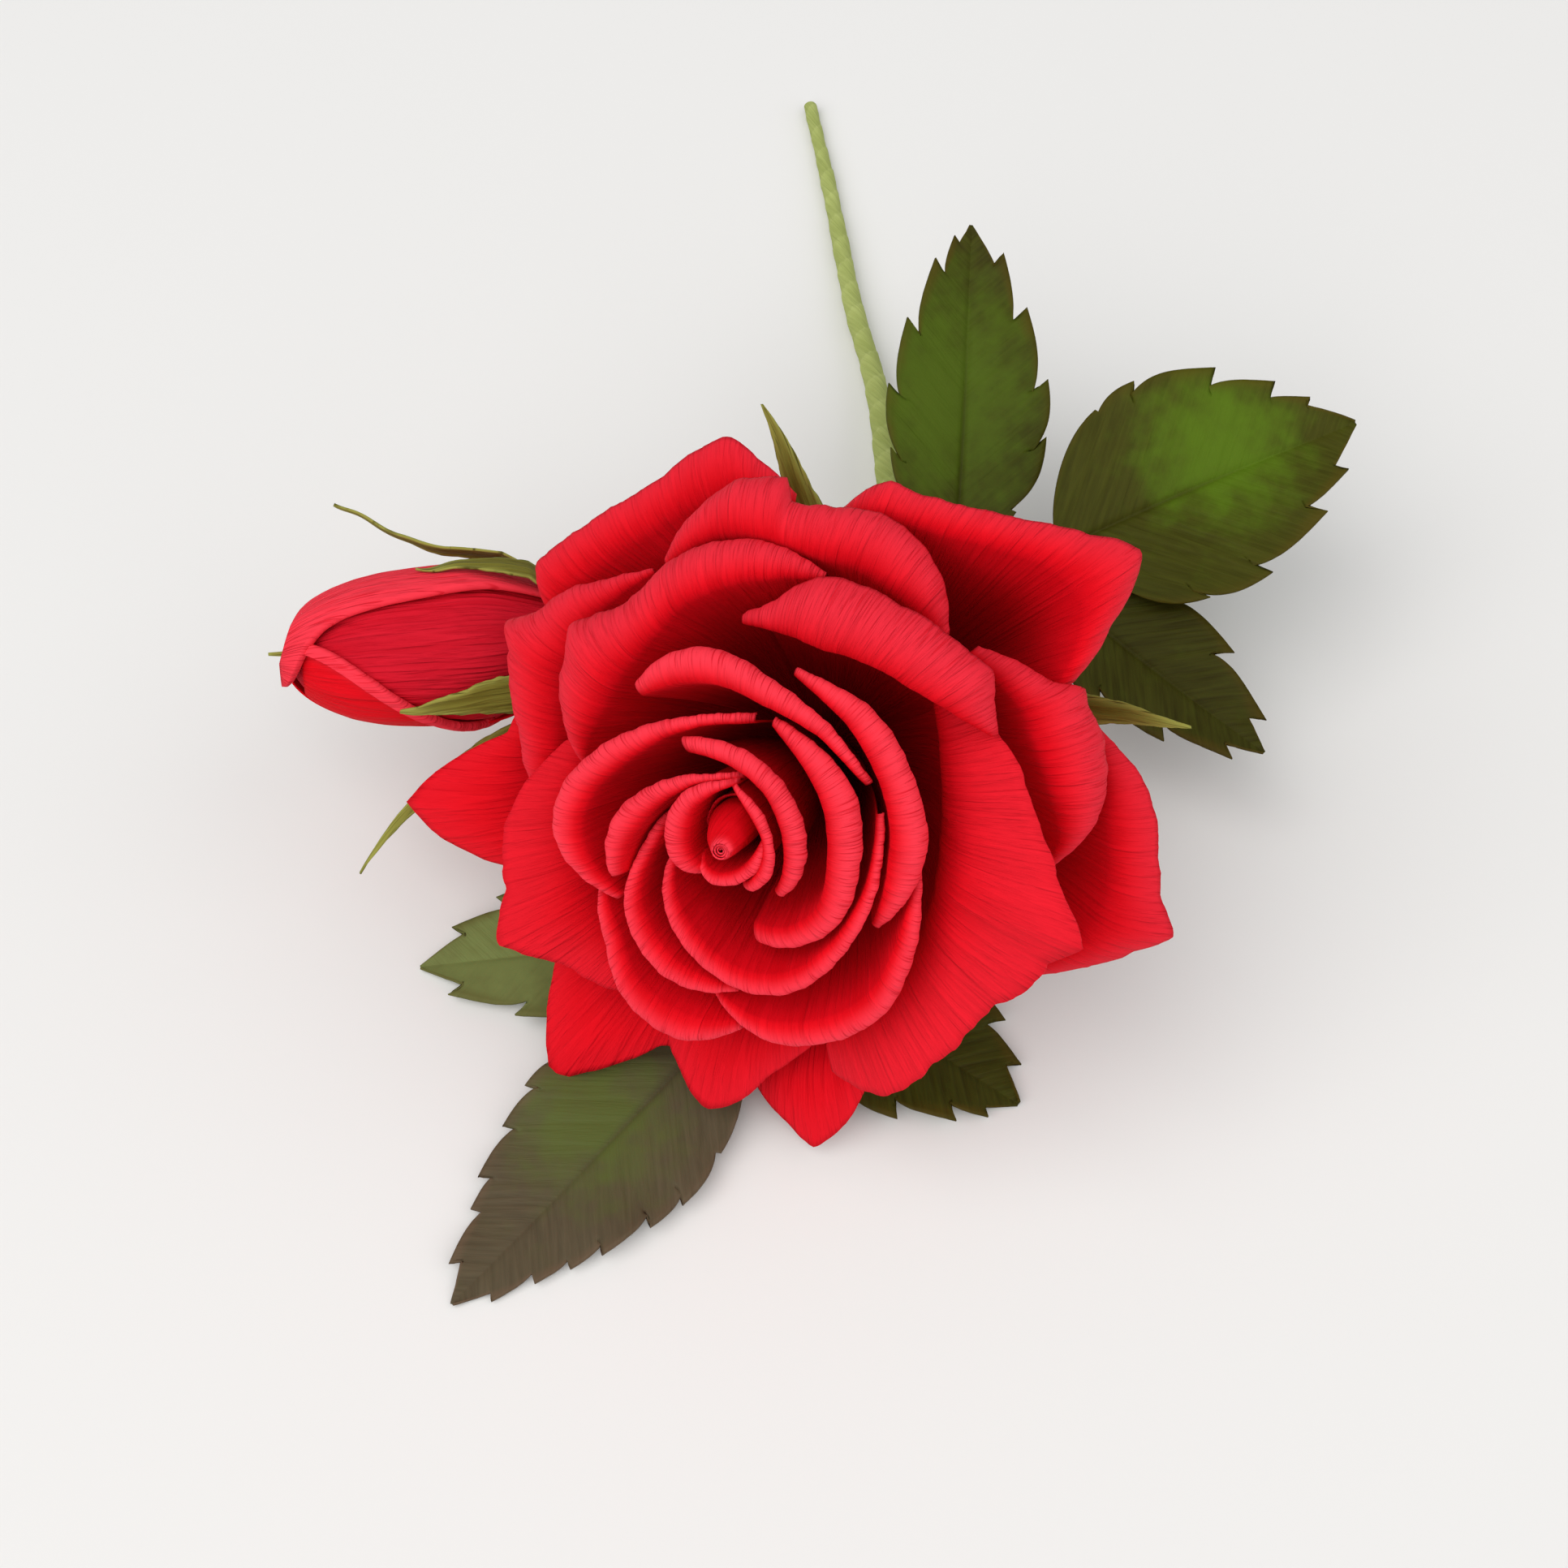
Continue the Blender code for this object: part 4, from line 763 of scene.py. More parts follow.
def wound_tube(name, path, radius, around, step, seed, paper=None, lap=WRAP_LAP):
    """Crepe strip wound in a slant along a path: a tube with a low step where each turn overlaps the
    last. With a paper thickness its ends are open, and otherwise they are closed."""
    length = sum((last - first).length for first, last in zip(path, path[1:]))
    fine = smooth_path(path, max(1, round(length / step / (len(path) - 1))))
    places, sides, ups = path_frames(fine)
    run = np.concatenate(([0.0], np.cumsum(np.linalg.norm(np.diff(places, axis=0), axis=1))))
    uneven = waves(seed, (0.019, 0.0067, 0.0029), (0.00005, 0.00003, 0.00002))
    rows = len(fine) - 1 if paper else len(fine) + 1

    def bend(across, along):
        index = np.rint(along * rows).astype(int) - (0 if paper else 1)
        capped = (index < 0) | (index > len(fine) - 1)
        index = np.clip(index, 0, len(fine) - 1)
        turn = math.pi * across
        share = run[index] / run[-1]
        winding = (run[index] / WRAP_PITCH - turn / math.tau) % 1.0
        lapped = lap * (winding ** 2 - 0.4) * (1.0 - np.exp(-((1.0 - winding) / 0.05) ** 2))
        size = radius(share) + lapped + uneven(run[index] + 0.002 * np.sin(turn))
        size = np.where(capped, 0.0, size)
        points = (places[index] + size[:, :, None] * (
            sides[index] * np.cos(turn)[:, :, None] + ups[index] * np.sin(turn)[:, :, None]))
        grain = run[index] * 0.8 - turn * radius(0.0) * 0.6
        cross = run[index] * 0.6 + turn * radius(0.0) * 0.8
        return points, cross, grain, 0.45 + 0.4 * winding ** 6

    piece = crepe_sheet(name, around, rows, bend, rose_frame)
    close_seams(piece)
    if paper:
        thicken(piece, paper, -1.0)
    bpy.ops.object.shade_smooth_by_angle(angle=math.radians(50.0))
    return piece


stem_neck = bloom_base + bloom_axis * calyx_low
stem_route = smooth_path([stem_neck, stem_neck - bloom_axis * NECK_LENGTH] + list(STEM_ROUTE),
                         ROUTE_STEPS)
stem_path = [bloom_base + bloom_axis * (nest_foot + WIRE_SOCKET),
             bloom_base + bloom_axis * nest_foot] + stem_route


def wrap_radius(share):
    """The wrapped stem's radius: thick by the bloom, and tapering to its cut end."""
    tapered = np.maximum(0.0, share - STEM_TAPER_START) / (1.0 - STEM_TAPER_START)
    return STEM_THICK_RADIUS + (STEM_END_RADIUS - STEM_THICK_RADIUS) * tapered


wrap_start = stem_route[0] + (stem_route[1] - stem_route[0]).normalized() * GLUE_GAP
stem_wrap = wound_tube("stem_wrap_crepe", [wrap_start] + stem_route[1:], wrap_radius, 32, 0.0005, 71,
                       paper=WRAP_PAPER)
dress(stem_wrap, stem_crepe, "stem_wrap")

# Drawn steel wire is bright, with fine lines along it.
drawn_steel = bpy.data.materials.new("drawn_steel_floral_wire")
drawn_steel.use_nodes = True
wire_place = add_node(drawn_steel, "ShaderNodeTexCoord", {}, {})
wire_noise = add_node(drawn_steel, "ShaderNodeTexNoise", {}, {
    "Vector": wire_place.outputs["Object"], "Scale": 900.0, "Detail": 2.0})
wire_tint = add_node(drawn_steel, "ShaderNodeMix", {"data_type": "RGBA"}, {
    0: wire_noise.outputs["Fac"], 6: linear(WIRE_DRAWN), 7: linear(WIRE_BRIGHT)})
wire_shader = drawn_steel.node_tree.nodes["Principled BSDF"]
drawn_steel.node_tree.links.new(wire_tint.outputs[2], wire_shader.inputs["Base Color"])
wire_shader.inputs["Metallic"].default_value = 1.0
wire_shader.inputs["Roughness"].default_value = 0.35
wire = wound_tube("floral_wire_steel", stem_path, steady(WIRE_RADIUS), 16, 0.002, 72, lap=0.0)
dress(wire, drawn_steel, "stem_wire")

# The side bud
# A closed bud on its own wire: a core of rolled scrap, three petals wrapped round it with their
# free edges folded back, and its own small calyx with five sepals, one of them long and curling.
BudPetal = namedtuple("BudPetal", "name layer foot_start foot_end tip_start tip_end length flap sweep",
                      defaults=(0.0,))
BudSepal = namedtuple("BudSepal", "name start swing length lift half_width")
BUD_FOOT = Vector((-0.0390, 0.0260, 0.0360))
BUD_TIP = Vector((-0.0787, 0.0197, 0.0398))
BUD_FACE = Vector((0.149, -0.568, 0.810))
BUD_RADII = (0.0078, 0.0114, 0.0115, 0.0111, 0.0098)
BUD_END_POWER = 6
BUD_LAYER = 0.0005
BUD_COLUMN_WIDTH = 0.0005
BUD_ROWS = 90
BUD_ROW_POWER = 0.9
BUD_FOLD_RADIUS = 0.0006
BUD_FOLD_COLUMNS = 30
BUD_FOLD_TURN_SHARE = 0.5
BUD_LEAST_FLAP = 4.0
BUD_SWEEP_POWER = 20
BUD_CORE_SHARES = (0.0, 0.2, 0.45, 0.7, 0.85, 0.93, 0.965, 0.98)
BUD_CORE_TOP_SHARE = 0.985
BUD_SEPAL_CLEARANCE = 0.0026
BUD_SEPAL_OPENED = 0.3
BUD_SEPAL_FOOT = 0.0035
BUD_CALYX_RADIUS = 0.0062
BUD_CALYX_LENGTH = 0.0070
BUD_CALYX_WAIST = (0.0047, 0.65)
BUD_NECK_LENGTH = 0.005
BUD_STEM_RADIUS = 0.0013
BUD_STEM_ROUTE = ((-0.0215, 0.0310, 0.0315), (-0.0060, 0.0375, 0.0225), (0.0060, 0.0450, 0.0145))
BUD_FOOT_RED = "#AC0818"
BUD_VALLEY_RED = "#C60E24"
BUD_CREST_RED = "#DA1A30"
# Painted highlight for the free edge of the bud's inner petal.
BUD_INNER_RIM_HIGHLIGHT = "#E22A3E"

bud_length = (BUD_TIP - BUD_FOOT).length
bud_axis = (BUD_TIP - BUD_FOOT).normalized()
bud_front = (BUD_FACE - bud_axis * BUD_FACE.dot(bud_axis)).normalized()
bud_frame = frame_at(BUD_FOOT, bud_front, bud_axis.cross(bud_front), bud_axis)

# The bud's inner petal isn't stretched over a thumb, so its gathers stay deep and it looks darker.
bud_crepe = crepe_paper("bud_red_crepe_paper", BUD_FOOT_RED, BUD_VALLEY_RED, BUD_CREST_RED,
                        BUD_INNER_RIM_HIGHLIGHT, RED_CREASE_SHADE, relief=0.00022)


def bud_body_radius(share):
    """Radius of the bud under its outer layers at a share of its length, closing at its round end."""
    share = np.clip(share, 0.0, 1.0)
    return smooth_line(BUD_RADII, 2.0 * share - 1.0) * np.sqrt(1.0 - share ** BUD_END_POWER)


bud_outline = [(0.0, GLUE_GAP)]
for share in BUD_CORE_SHARES:
    bud_outline.append((float(bud_body_radius(np.array([share]))[0]) - 3 * BUD_LAYER,
                        GLUE_GAP + share * bud_length))
bud_outline.append((0.0, BUD_CORE_TOP_SHARE * bud_length))
bud_core = turned_piece("bud_core_roll", bud_outline, 90, 80, bud_frame, relief=0.00012, seed=81)
dress(bud_core, bud_crepe, "bud_core")


def make_bud_petal(petal, seed, material, gathers):
    """One petal wrapped round the bud from its hidden edge, with its free edge folded back."""
    widest = math.radians(max(abs(petal.foot_end - petal.foot_start),
                              abs(petal.tip_end - petal.tip_start))) * max(BUD_RADII)
    main_columns = round(widest / BUD_COLUMN_WIDTH)
    columns = main_columns + (BUD_FOLD_COLUMNS if petal.flap else 0)
    main_share = main_columns / columns
    forwards = math.copysign(1.0, petal.foot_end - petal.foot_start)
    ridge = waves(seed, (0.0014, 0.0021, 0.0033, 0.0058), (0.4, 0.6, 0.8, 1.0))
    drift = waves(seed + 5, (0.017, 0.0078), (0.0006, 0.0004))

    def bend(across, along):
        share = petal.length * along ** BUD_ROW_POWER
        first = petal.foot_start + (petal.tip_start - petal.foot_start) * share
        last = petal.foot_end + (petal.tip_end - petal.foot_end) * share
        last = last + petal.sweep * share ** BUD_SWEEP_POWER
        part = (across + 1.0) / 2.0
        back = np.maximum(part - main_share, 0.0) / max(1.0 - main_share, 1e-9)
        turned_by = math.pi * np.minimum(back / BUD_FOLD_TURN_SHARE, 1.0)
        flat = np.maximum(back - BUD_FOLD_TURN_SHARE, 0.0) / (1.0 - BUD_FOLD_TURN_SHARE)
        out = BUD_FOLD_RADIUS * (1.0 - np.cos(turned_by))
        radius = bud_body_radius(share) + (petal.layer - 2) * BUD_LAYER + out
        lift = (petal.layer * BUD_LAYER + out) * share ** BUD_END_POWER
        flap = smooth_line(petal.flap or (0, 0, 0, 0, 0), 2.0 * along - 1.0)
        folded = np.maximum(flap, BUD_LEAST_FLAP)
        angle = np.radians(first + (last - first) * np.minimum(part / main_share, 1.0)
                           - forwards * folded * flat)
        angle = angle + forwards * BUD_FOLD_RADIUS * np.sin(turned_by) / radius
        level = 2 * GLUE_GAP + share * bud_length + lift
        points = np.stack((radius * np.cos(angle), radius * np.sin(angle), level), axis=2)
        over = angle * max(BUD_RADII)
        relief = gathers * ridge(over + drift(level)) * np.sin(math.pi * np.clip(along, 0.0, 1.0)) ** 0.5
        rim = np.clip(0.5 + 0.5 * (part / main_share) ** 12, 0.0, 1.0)
        return lifted(points, relief), over, level, rim

    piece = crepe_sheet(petal.name + "_crepe", columns, BUD_ROWS, bend, bud_frame, PETAL_PAPER)
    dress(piece, material, petal.name)


make_bud_petal(BudPetal("bud_petal_1", 1, -125, 95, -125, 95, 0.9985, None), 83, bud_crepe, 0.00008)
make_bud_petal(BudPetal("bud_petal_2", 3, 268, 56, 250, 34, 0.990, (46, 50, 52, 56, 60), -120), 84,
               red_crepe, 0.00003)
make_bud_petal(BudPetal("bud_petal_3", 2, -210, -150, -200, 30, 0.950, (0, 0, 6, 9, 10)), 85,
               red_crepe, 0.00003)

bud_calyx = turned_piece(
    "bud_calyx_cup",
    [(0.0, -BUD_CALYX_LENGTH), (BUD_STEM_RADIUS, -BUD_CALYX_LENGTH),
     (BUD_CALYX_WAIST[0], -BUD_CALYX_WAIST[1] * BUD_CALYX_LENGTH), (BUD_CALYX_RADIUS, -CALYX_LIP),
     (BUD_CALYX_RADIUS, 0.0), (0.0, 0.0)], 90, 60, bud_frame, relief=0.00005, seed=86)
dress(bud_calyx, stem_crepe, "bud_calyx")


def make_bud_sepal(sepal, seed):
    """A small sepal that lies along the bud from its calyx, its tip standing off or curling away."""
    edge = waves(seed, (0.0081, 0.0037, 0.0019), (1.0, 0.7, 0.4))
    bob = waves(seed + 5, (0.015, 0.008), (0.0004, 0.0003))
    ridge = waves(seed + 9, (0.0009, 0.0014), (0.00004, 0.00005))

    def bend(across, along):
        share = sepal.length * along / bud_length
        angle = np.radians(sepal.start + sepal.swing * along ** SEPAL_SWING_POWER)
        half = SEPAL_TIP_HALF_WIDTH + sepal.half_width * sepal_swell(along)
        half = half * (1.0 + 0.05 * edge(sepal.length * along + 0.003 * np.sign(across)))
        body = (smooth_line(BUD_RADII, 2.0 * np.minimum(share, 1.0) - 1.0) + BUD_LAYER
                + BUD_SEPAL_CLEARANCE)
        opened = np.minimum(along / BUD_SEPAL_OPENED, 1.0) ** 0.5
        radius = BUD_CALYX_RADIUS + GLUE_GAP + (body - BUD_CALYX_RADIUS - GLUE_GAP) * opened
        radius = radius + sepal.lift * along ** 3 + bob(sepal.length * along) * along ** 2
        radius = radius - (half * across) ** 2 / (2.0 * radius)
        points = np.stack((radius * np.cos(angle) - half * across * np.sin(angle),
                           radius * np.sin(angle) + half * across * np.cos(angle),
                           sepal.length * along - BUD_SEPAL_FOOT), axis=2)
        shade = np.clip(0.45 + 0.5 * np.abs(across) ** 3 + 0.5 * along ** 3, 0.0, 1.0)
        return lifted(points, ridge(half * across)), half * across, sepal.length * along, shade

    piece = crepe_sheet(sepal.name + "_crepe", 12, 70, bend, bud_frame, SEPAL_PAPER)
    dress(piece, sepal_crepe, sepal.name)


for seed, sepal in enumerate((
        BudSepal("bud_sepal_1", 108, -10, 0.0365, 0.0115, 0.0022),
        BudSepal("bud_sepal_2", 56, 12, 0.0248, -0.0004, 0.0024),
        BudSepal("bud_sepal_3", -29, -10, 0.0290, 0.0004, 0.0036),
        BudSepal("bud_sepal_4", 178, -4, 0.0490, 0.0010, 0.0021),
        BudSepal("bud_sepal_5", 4, -6, 0.0110, 0.0010, 0.0014))):
    make_bud_sepal(sepal, seed + 90)

# The bud's wire is laid along the main stem at the joint.
JOINT_START = 0.0540
JOINT_END = 0.0650
BUD_STEM_OFFSET = (-0.0041, 0.0)


def stem_place(level):
    """Where the stem's middle line crosses a plane across Y."""
    for first, last in zip(stem_path, stem_path[1:]):
        if first.y <= level <= last.y:
            return first.lerp(last, (level - first.y) / (last.y - first.y))
    return stem_path[-1]


def joined_route(route, offset):
    """A side wire's route with its end laid along the main stem at the joint."""
    aside = Vector((offset[0], 0.0, offset[1]))
    ends = [stem_place(level) + aside for level in (JOINT_START, JOINT_END)]
    return smooth_path(route, ROUTE_STEPS) + ends


bud_neck = BUD_FOOT - bud_axis * (BUD_CALYX_LENGTH + GLUE_GAP)
bud_route = joined_route([bud_neck, bud_neck - bud_axis * BUD_NECK_LENGTH] + list(BUD_STEM_ROUTE),
                         BUD_STEM_OFFSET)
bud_stem = wound_tube("bud_stem_crepe", bud_route, steady(BUD_STEM_RADIUS), 24, 0.0006, 96)
dress(bud_stem, stem_crepe, "bud_stem")

# The leaf sprays
# Two sprays of three toothed leaflets on wrapped wires. Each leaflet is two halves of dark green
# crepe, cut on the slant and glued along a thin midrib wire, so that its grain runs like side veins.
Leaf = namedtuple("Leaf", "name foot tip face half_width fold bow finish left_teeth right_teeth")
STALK_RADIUS = 0.0009
UPPER_STALK_ROUTE = ((0.0230, 0.0495, 0.0145), (0.0300, 0.0485, 0.0210), (0.0385, 0.0492, 0.0264))
LOWER_STALK_ROUTE = ((0.0110, 0.0380, 0.0048), (0.0040, 0.0140, 0.0048),
                     (-0.0042, -0.0100, 0.0048), (-0.0087, -0.0206, 0.0043))
UPPER_STALK_OFFSET = (0.0037, 0.0)
LOWER_STALK_OFFSET = (0.0, -0.0037)
LEAF_PAPER = 0.0004
TOOTH_DEPTH = 0.0027
TOOTH_LEAN = 0.0032
TOOTH_BULGE = 1.25
TOOTH_WIDEST = 0.17
LEAF_FOOT_HALF_WIDTH = 0.0006
LEAF_STALK_SHARE = 0.07
LEAF_STALK_TAPER = 0.6
LEAF_WIDE_POWER = 0.70
LEAF_ROUND_POWER = 0.95
LEAF_RIM_START = 0.12
VEIN_ANGLE = math.radians(48.0)
VEIN_SPACING = 0.0042
VEIN_RELIEF = 0.00005
MIDRIB_RADIUS = 0.0006
LEAF_COLUMN_WIDTH = 0.0005
LEAF_ROW_LENGTH = 0.0004

for name, route, offset, seed in (
        ("upper_leaf_stalk", UPPER_STALK_ROUTE, UPPER_STALK_OFFSET, 97),
        ("lower_leaf_stalk", LOWER_STALK_ROUTE, LOWER_STALK_OFFSET, 98)):
    stalk = wound_tube(name + "_crepe", joined_route(list(reversed(route)), offset),
                       steady(STALK_RADIUS), 20, 0.0006, seed)
    dress(stalk, stem_crepe, name)


def leaf_paper(name, deep, body, fresh, edge, fresh_place, fresh_reach, roughness=0.6):
    """Dark green crepe brushed with a little wax: grain like side veins, fresh patches, brown edges, and
    painted shade along the midrib groove.
    """
    material = bpy.data.materials.new(name)
    material.use_nodes = True
    paper_map = add_node(material, "ShaderNodeUVMap", {"uv_map": "crepe"}, {})
    grain_place = add_node(material, "ShaderNodeMapping", {}, {
        "Vector": paper_map.outputs["UV"], "Scale": (1 / GATHER, 1 / (12 * GATHER), 1.0)})
    grain = add_node(material, "ShaderNodeTexNoise", {"noise_dimensions": "2D"}, {
        "Vector": grain_place.outputs["Vector"], "Scale": 1.0, "Detail": 3.0, "Distortion": 0.3})
    grain_share = add_node(material, "ShaderNodeMapRange", {}, {
        "Value": grain.outputs["Fac"], "From Min": 0.2, "From Max": 0.8})
    rim = add_node(material, "ShaderNodeAttribute", {"attribute_name": "rim"}, {})
    # Painted shade: the midrib groove is darkened with the deep colour.
    midrib = add_node(material, "ShaderNodeMapRange", {}, {
        "Value": rim.outputs["Fac"], "From Max": LEAF_RIM_START, "To Min": 0.7, "To Max": 0.0})
    place = add_node(material, "ShaderNodeTexCoord", {}, {})
    patches = add_node(material, "ShaderNodeTexNoise", {}, {
        "Vector": place.outputs["Object"], "Scale": 260.0, "Detail": 4.0})
    fresh_middle = (rose_place + Vector(fresh_place)) / fresh_reach
    fresh_ball_place = add_node(material, "ShaderNodeMapping", {}, {
        "Vector": place.outputs["Object"], "Location": -fresh_middle, "Scale": (1 / fresh_reach,) * 3})
    fresh_ball = add_node(material, "ShaderNodeTexGradient", {"gradient_type": "SPHERICAL"}, {
        "Vector": fresh_ball_place.outputs["Vector"]})
    ragged_ball = add_node(material, "ShaderNodeMath", {"operation": "MULTIPLY_ADD"}, {
        0: patches.outputs["Fac"], 1: 0.8, 2: fresh_ball.outputs["Fac"]})
    patch_share = add_node(material, "ShaderNodeMapRange", {"interpolation_type": "SMOOTHSTEP"}, {
        "Value": ragged_ball.outputs["Value"], "From Min": 0.40, "From Max": 1.25})
    ragged_rim = add_node(material, "ShaderNodeMath", {"operation": "MULTIPLY_ADD"}, {
        0: patches.outputs["Fac"], 1: 0.5, 2: rim.outputs["Fac"]})
    rim_share = add_node(material, "ShaderNodeMapRange", {"interpolation_type": "SMOOTHSTEP"}, {
        "Value": ragged_rim.outputs["Value"], "From Min": 0.90, "From Max": 1.40, "To Max": 0.8})
    colour = add_node(material, "ShaderNodeMix", {"data_type": "RGBA"}, {
        0: grain_share.outputs["Result"], 6: linear(deep), 7: linear(body)}).outputs[2]
    for share, layer in ((patch_share.outputs["Result"], fresh), (rim_share.outputs["Result"], edge),
                         (midrib.outputs["Result"], deep)):
        colour = add_node(material, "ShaderNodeMix", {"data_type": "RGBA"}, {
            0: share, 6: colour, 7: linear(layer)}).outputs[2]
    bump = add_node(material, "ShaderNodeBump", {}, {
        "Height": grain_share.outputs["Result"], "Distance": 0.00009})
    shader = material.node_tree.nodes["Principled BSDF"]
    material.node_tree.links.new(colour, shader.inputs["Base Color"])
    material.node_tree.links.new(bump.outputs["Normal"], shader.inputs["Normal"])
    shader.inputs["Roughness"].default_value = roughness
    shader.inputs["IOR"].default_value = 1.45
    shader.inputs["Specular IOR Level"].default_value = 0.12
    return material


# The leaf crepe is dyed unevenly: some leaflets stay dark, one is fresh green in the middle, one
# is a paler grey green, and the lowest has gone olive brown. The wax gives them a low gloss.
leaf_finishes = {
    "dark": leaf_paper("leaf_dark_green_waxed_crepe", "#322F07", "#424310", "#4C6013", "#4E3F0F",
                       (0.0210, 0.0820, 0.0300), 0.034),
    "fresh": leaf_paper("leaf_fresh_green_waxed_crepe", "#3A3A08", "#484A11", "#547012", "#52450F",
                        (0.0700, 0.0660, 0.0350), 0.020),
    "pale": leaf_paper("leaf_grey_green_waxed_crepe", "#5A5C32", "#6B6C3E", "#748048", "#5E582C",
                       (-0.0480, -0.0090, 0.0), 0.025),
    "brown": leaf_paper("leaf_olive_brown_waxed_crepe", "#4E4533", "#5C513D", "#56602E", "#665240",
                        (-0.0325, -0.0410, 0.0), 0.020, roughness=0.52)}


def blade_half_width(leaf, along):
    """A pointed oval on a short stalk, widest a little below its middle."""
    share = np.clip((along - LEAF_STALK_SHARE) / (1.0 - LEAF_STALK_SHARE), 0.0, 1.0)
    swell = np.maximum(np.sin(math.pi * share ** LEAF_WIDE_POWER), 0.0) ** LEAF_ROUND_POWER
    return LEAF_FOOT_HALF_WIDTH * (1.0 - LEAF_STALK_TAPER * along) + leaf.half_width * swell


def make_leaf(leaf, seed):
    """A toothed blade of two crepe halves joined along the midrib, folded up a little from it."""
    foot, tip = Vector(leaf.foot), Vector(leaf.tip)
    length = (tip - foot).length
    ahead = (tip - foot).normalized()
    face = Vector(leaf.face)
    face = (face - ahead * face.dot(ahead)).normalized()
    leaf_frame = frame_at(foot, ahead, ahead.cross(face), face)
    fold = math.radians(leaf.fold)
    flutter = waves(seed, (0.027, 0.014), (0.0005, 0.0003))
    ridge = waves(seed + 7, (0.0012, 0.0019, 0.0031), (0.4, 0.6, 0.8))

    def bend(across, along):
        half = blade_half_width(leaf, along)
        side = (across > 0).astype(int)
        rise, size = np.zeros_like(across + along), np.zeros_like(across + along)
        for number, teeth in enumerate((leaf.left_teeth, leaf.right_teeth)):
            for start, end in zip(teeth, teeth[1:]):
                within = (side == number) & (along >= start) & (along < end)
                rise = np.where(within, (along - start) / (end - start), rise)
                size = np.where(within, min((end - start) / TOOTH_WIDEST, 1.0), size)
        near = np.abs(across) ** 10
        lobe = (1.0 - (1.0 - TOOTH_BULGE * rise) ** 2 - 0.5) * size
        out = (half + TOOTH_DEPTH * lobe * near) * across
        lean = TOOTH_LEAN * rise ** 3 * size * near
        middle = leaf.bow * np.sin(math.pi * along)
        groove = np.exp(-(out / MIDRIB_RADIUS) ** 2) * (1.0 - along ** 2)
        lift = middle + np.abs(out) * math.sin(fold) - MIDRIB_RADIUS * groove
        lift = lift + flutter(length * along + 0.01 * side) * across ** 2
        run = length * along + lean
        points = np.stack((run, out * math.cos(fold), lift), axis=2)
        over = run * math.sin(VEIN_ANGLE) - np.abs(out) * math.cos(VEIN_ANGLE)
        down = run * math.cos(VEIN_ANGLE) + np.abs(out) * math.sin(VEIN_ANGLE)
        veins = VEIN_RELIEF * np.cos(math.tau * over / VEIN_SPACING) * (1.0 - np.abs(across) ** 4)
        relief = (veins + 0.00003 * ridge(over)) * np.minimum(np.abs(out) / 0.002, 1.0)
        rim = LEAF_RIM_START * (1.0 - groove) + 0.8 * np.abs(across) ** 4 + 0.3 * along ** 4
        return lifted(points, relief), over, down, np.clip(rim, 0.0, 1.0)

    columns = 2 * round(leaf.half_width / LEAF_COLUMN_WIDTH)
    piece = crepe_sheet(leaf.name + "_crepe", columns, round(length / LEAF_ROW_LENGTH), bend,
                        leaf_frame, LEAF_PAPER, even=False)
    dress(piece, leaf_finishes[leaf.finish], leaf.name)


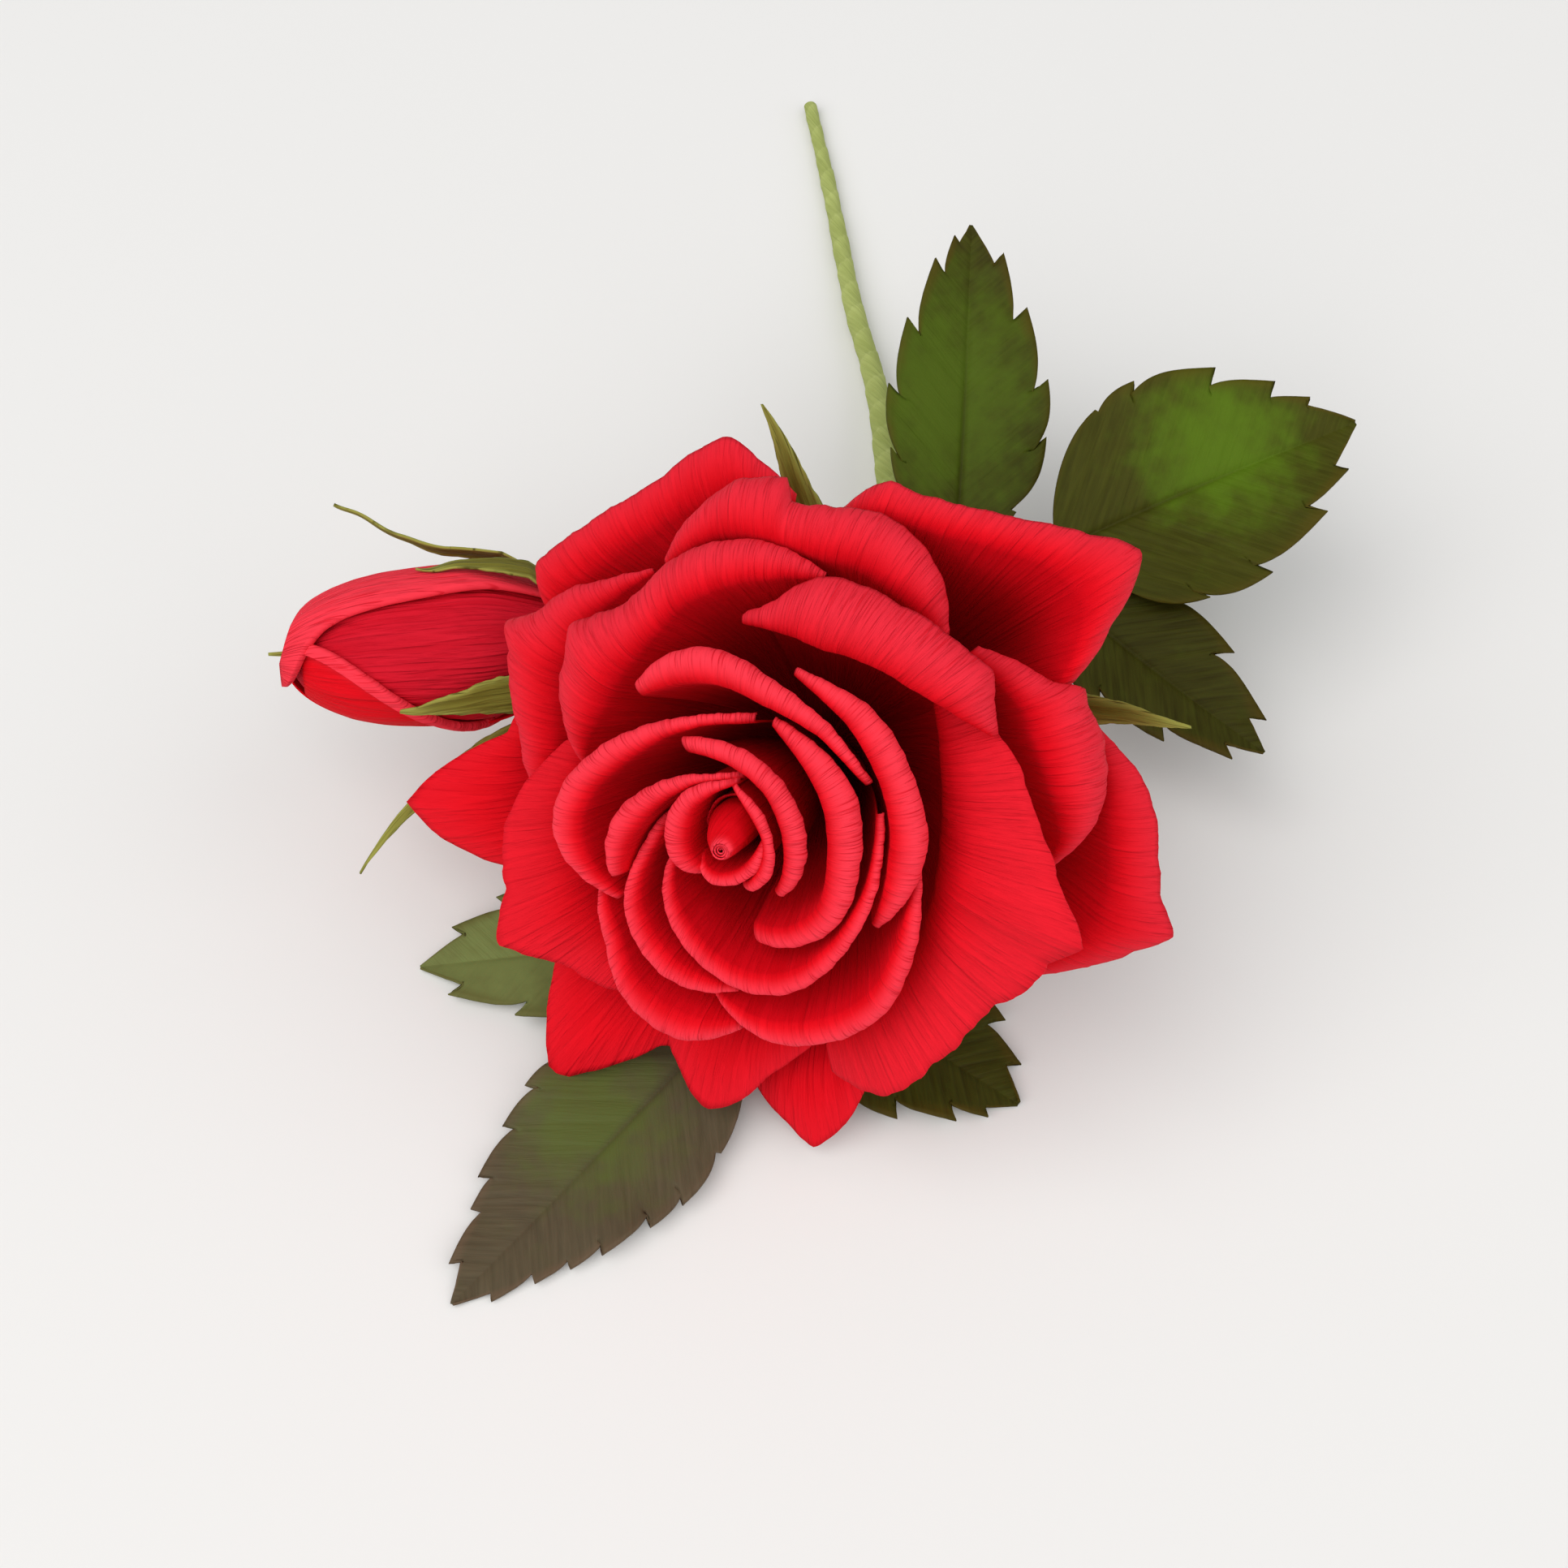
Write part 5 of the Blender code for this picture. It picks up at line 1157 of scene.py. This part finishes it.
for seed, leaf in enumerate((
        Leaf("upper_leaflet_1", (0.0262, 0.0508, 0.0184), (0.0297, 0.1083, 0.0450),
             (0.15, -0.45, 1.0), 0.0130, 16, 0.0015, "dark",
             (0.15, 0.30, 0.47, 0.65, 0.84, 0.94), (0.20, 0.36, 0.52, 0.72, 0.88)),
        Leaf("upper_leaflet_2", (0.0392, 0.0494, 0.0269), (0.0936, 0.0712, 0.0360),
             (-0.05, -0.35, 1.0), 0.0193, 14, 0.0020, "fresh",
             (0.32, 0.42, 0.63, 0.79, 0.88), (0.18, 0.33, 0.51, 0.73, 0.87)),
        Leaf("upper_leaflet_3", (0.0388, 0.0476, 0.0260), (0.0749, 0.0153, 0.0200),
             (0.1, -0.2, 1.0), 0.0112, 12, -0.0010, "dark",
             (0.20, 0.38, 0.64, 0.87), (0.25, 0.45, 0.68, 0.88)),
        Leaf("lower_leaflet_1", (-0.0090, -0.0210, 0.0042), (-0.0527, -0.0706, 0.0006),
             (0.0, 0.0, 1.0), 0.0150, 6, -0.0004, "brown",
             (0.34, 0.46, 0.56, 0.67, 0.75, 0.83, 0.92), (0.30, 0.40, 0.50, 0.60, 0.72, 0.80, 0.91)),
        Leaf("lower_leaflet_2", (-0.0060, -0.0090, 0.0048), (-0.0620, -0.0138, 0.0008),
             (0.0, 0.0, 1.0), 0.0135, 8, 0.0004, "pale",
             (0.30, 0.50, 0.68, 0.87), (0.35, 0.52, 0.72, 0.86)),
        Leaf("lower_leaflet_3", (-0.0034, -0.0124, 0.0048), (0.0339, -0.0380, 0.0006),
             (0.0, 0.0, 1.0), 0.0150, 8, -0.0004, "dark",
             (0.22, 0.40, 0.58, 0.74, 0.88), (0.30, 0.47, 0.64, 0.80, 0.91)))):
    make_leaf(leaf, seed + 120)

# The joint wrap
# A last strip of stem green crepe wound round the main stem and the three side wires together, to
# hold the bud and both sprays in place.
JOINT_PAPER = 0.0004
JOINT_CLEARANCE = 0.00045
JOINT_TURNS = 4
JOINT_LAP = 0.00022
JOINT_ROUNDED = 0.0003
JOINT_SHARPNESS = 6000.0
joint_rods = ((STEM_THICK_RADIUS, (0.0, 0.0)), (BUD_STEM_RADIUS, BUD_STEM_OFFSET),
              (STALK_RADIUS, UPPER_STALK_OFFSET), (STALK_RADIUS, LOWER_STALK_OFFSET))


def joint_bend(across, along):
    """Round the bundle of wires, from one end of the joint to the other."""
    turn = math.pi * across
    out = np.stack((np.cos(turn), np.sin(turn)), axis=2)
    support = np.stack([radius + offset[0] * out[..., 0] + offset[1] * out[..., 1]
                        for radius, offset in joint_rods], axis=2)
    softened = np.log(np.exp(support * JOINT_SHARPNESS).sum(axis=2)) / JOINT_SHARPNESS
    level = JOINT_START + GLUE_GAP + (JOINT_END - JOINT_START - 2 * GLUE_GAP) * along
    winding = (along * JOINT_TURNS - turn / math.tau) % 1.0
    rounded = JOINT_ROUNDED * (np.minimum(along, 1.0 - along) * 2.0 - 1.0) ** 6
    softened = softened + JOINT_CLEARANCE - rounded + JOINT_LAP * np.sin(math.pi * winding) ** 0.5
    slope = np.gradient(softened, axis=0) / np.gradient(turn, axis=0)
    places = np.array([stem_place(value) for value in level[0]])
    x = places[None, :, 0] + softened * out[..., 0] - slope * out[..., 1]
    z = places[None, :, 2] + softened * out[..., 1] + slope * out[..., 0]
    points = np.stack((x, level, z), axis=2)
    return points, level, turn * 0.004, 0.45 + 0.4 * winding ** 6


joint = crepe_sheet("stem_joint_wrap_crepe", 96, 60, joint_bend, rose_frame)
close_seams(joint)
thicken(joint, JOINT_PAPER, 1.0)
bpy.ops.object.shade_smooth_by_angle(angle=math.radians(50.0))
dress(joint, stem_crepe, "stem_joint_wrap")
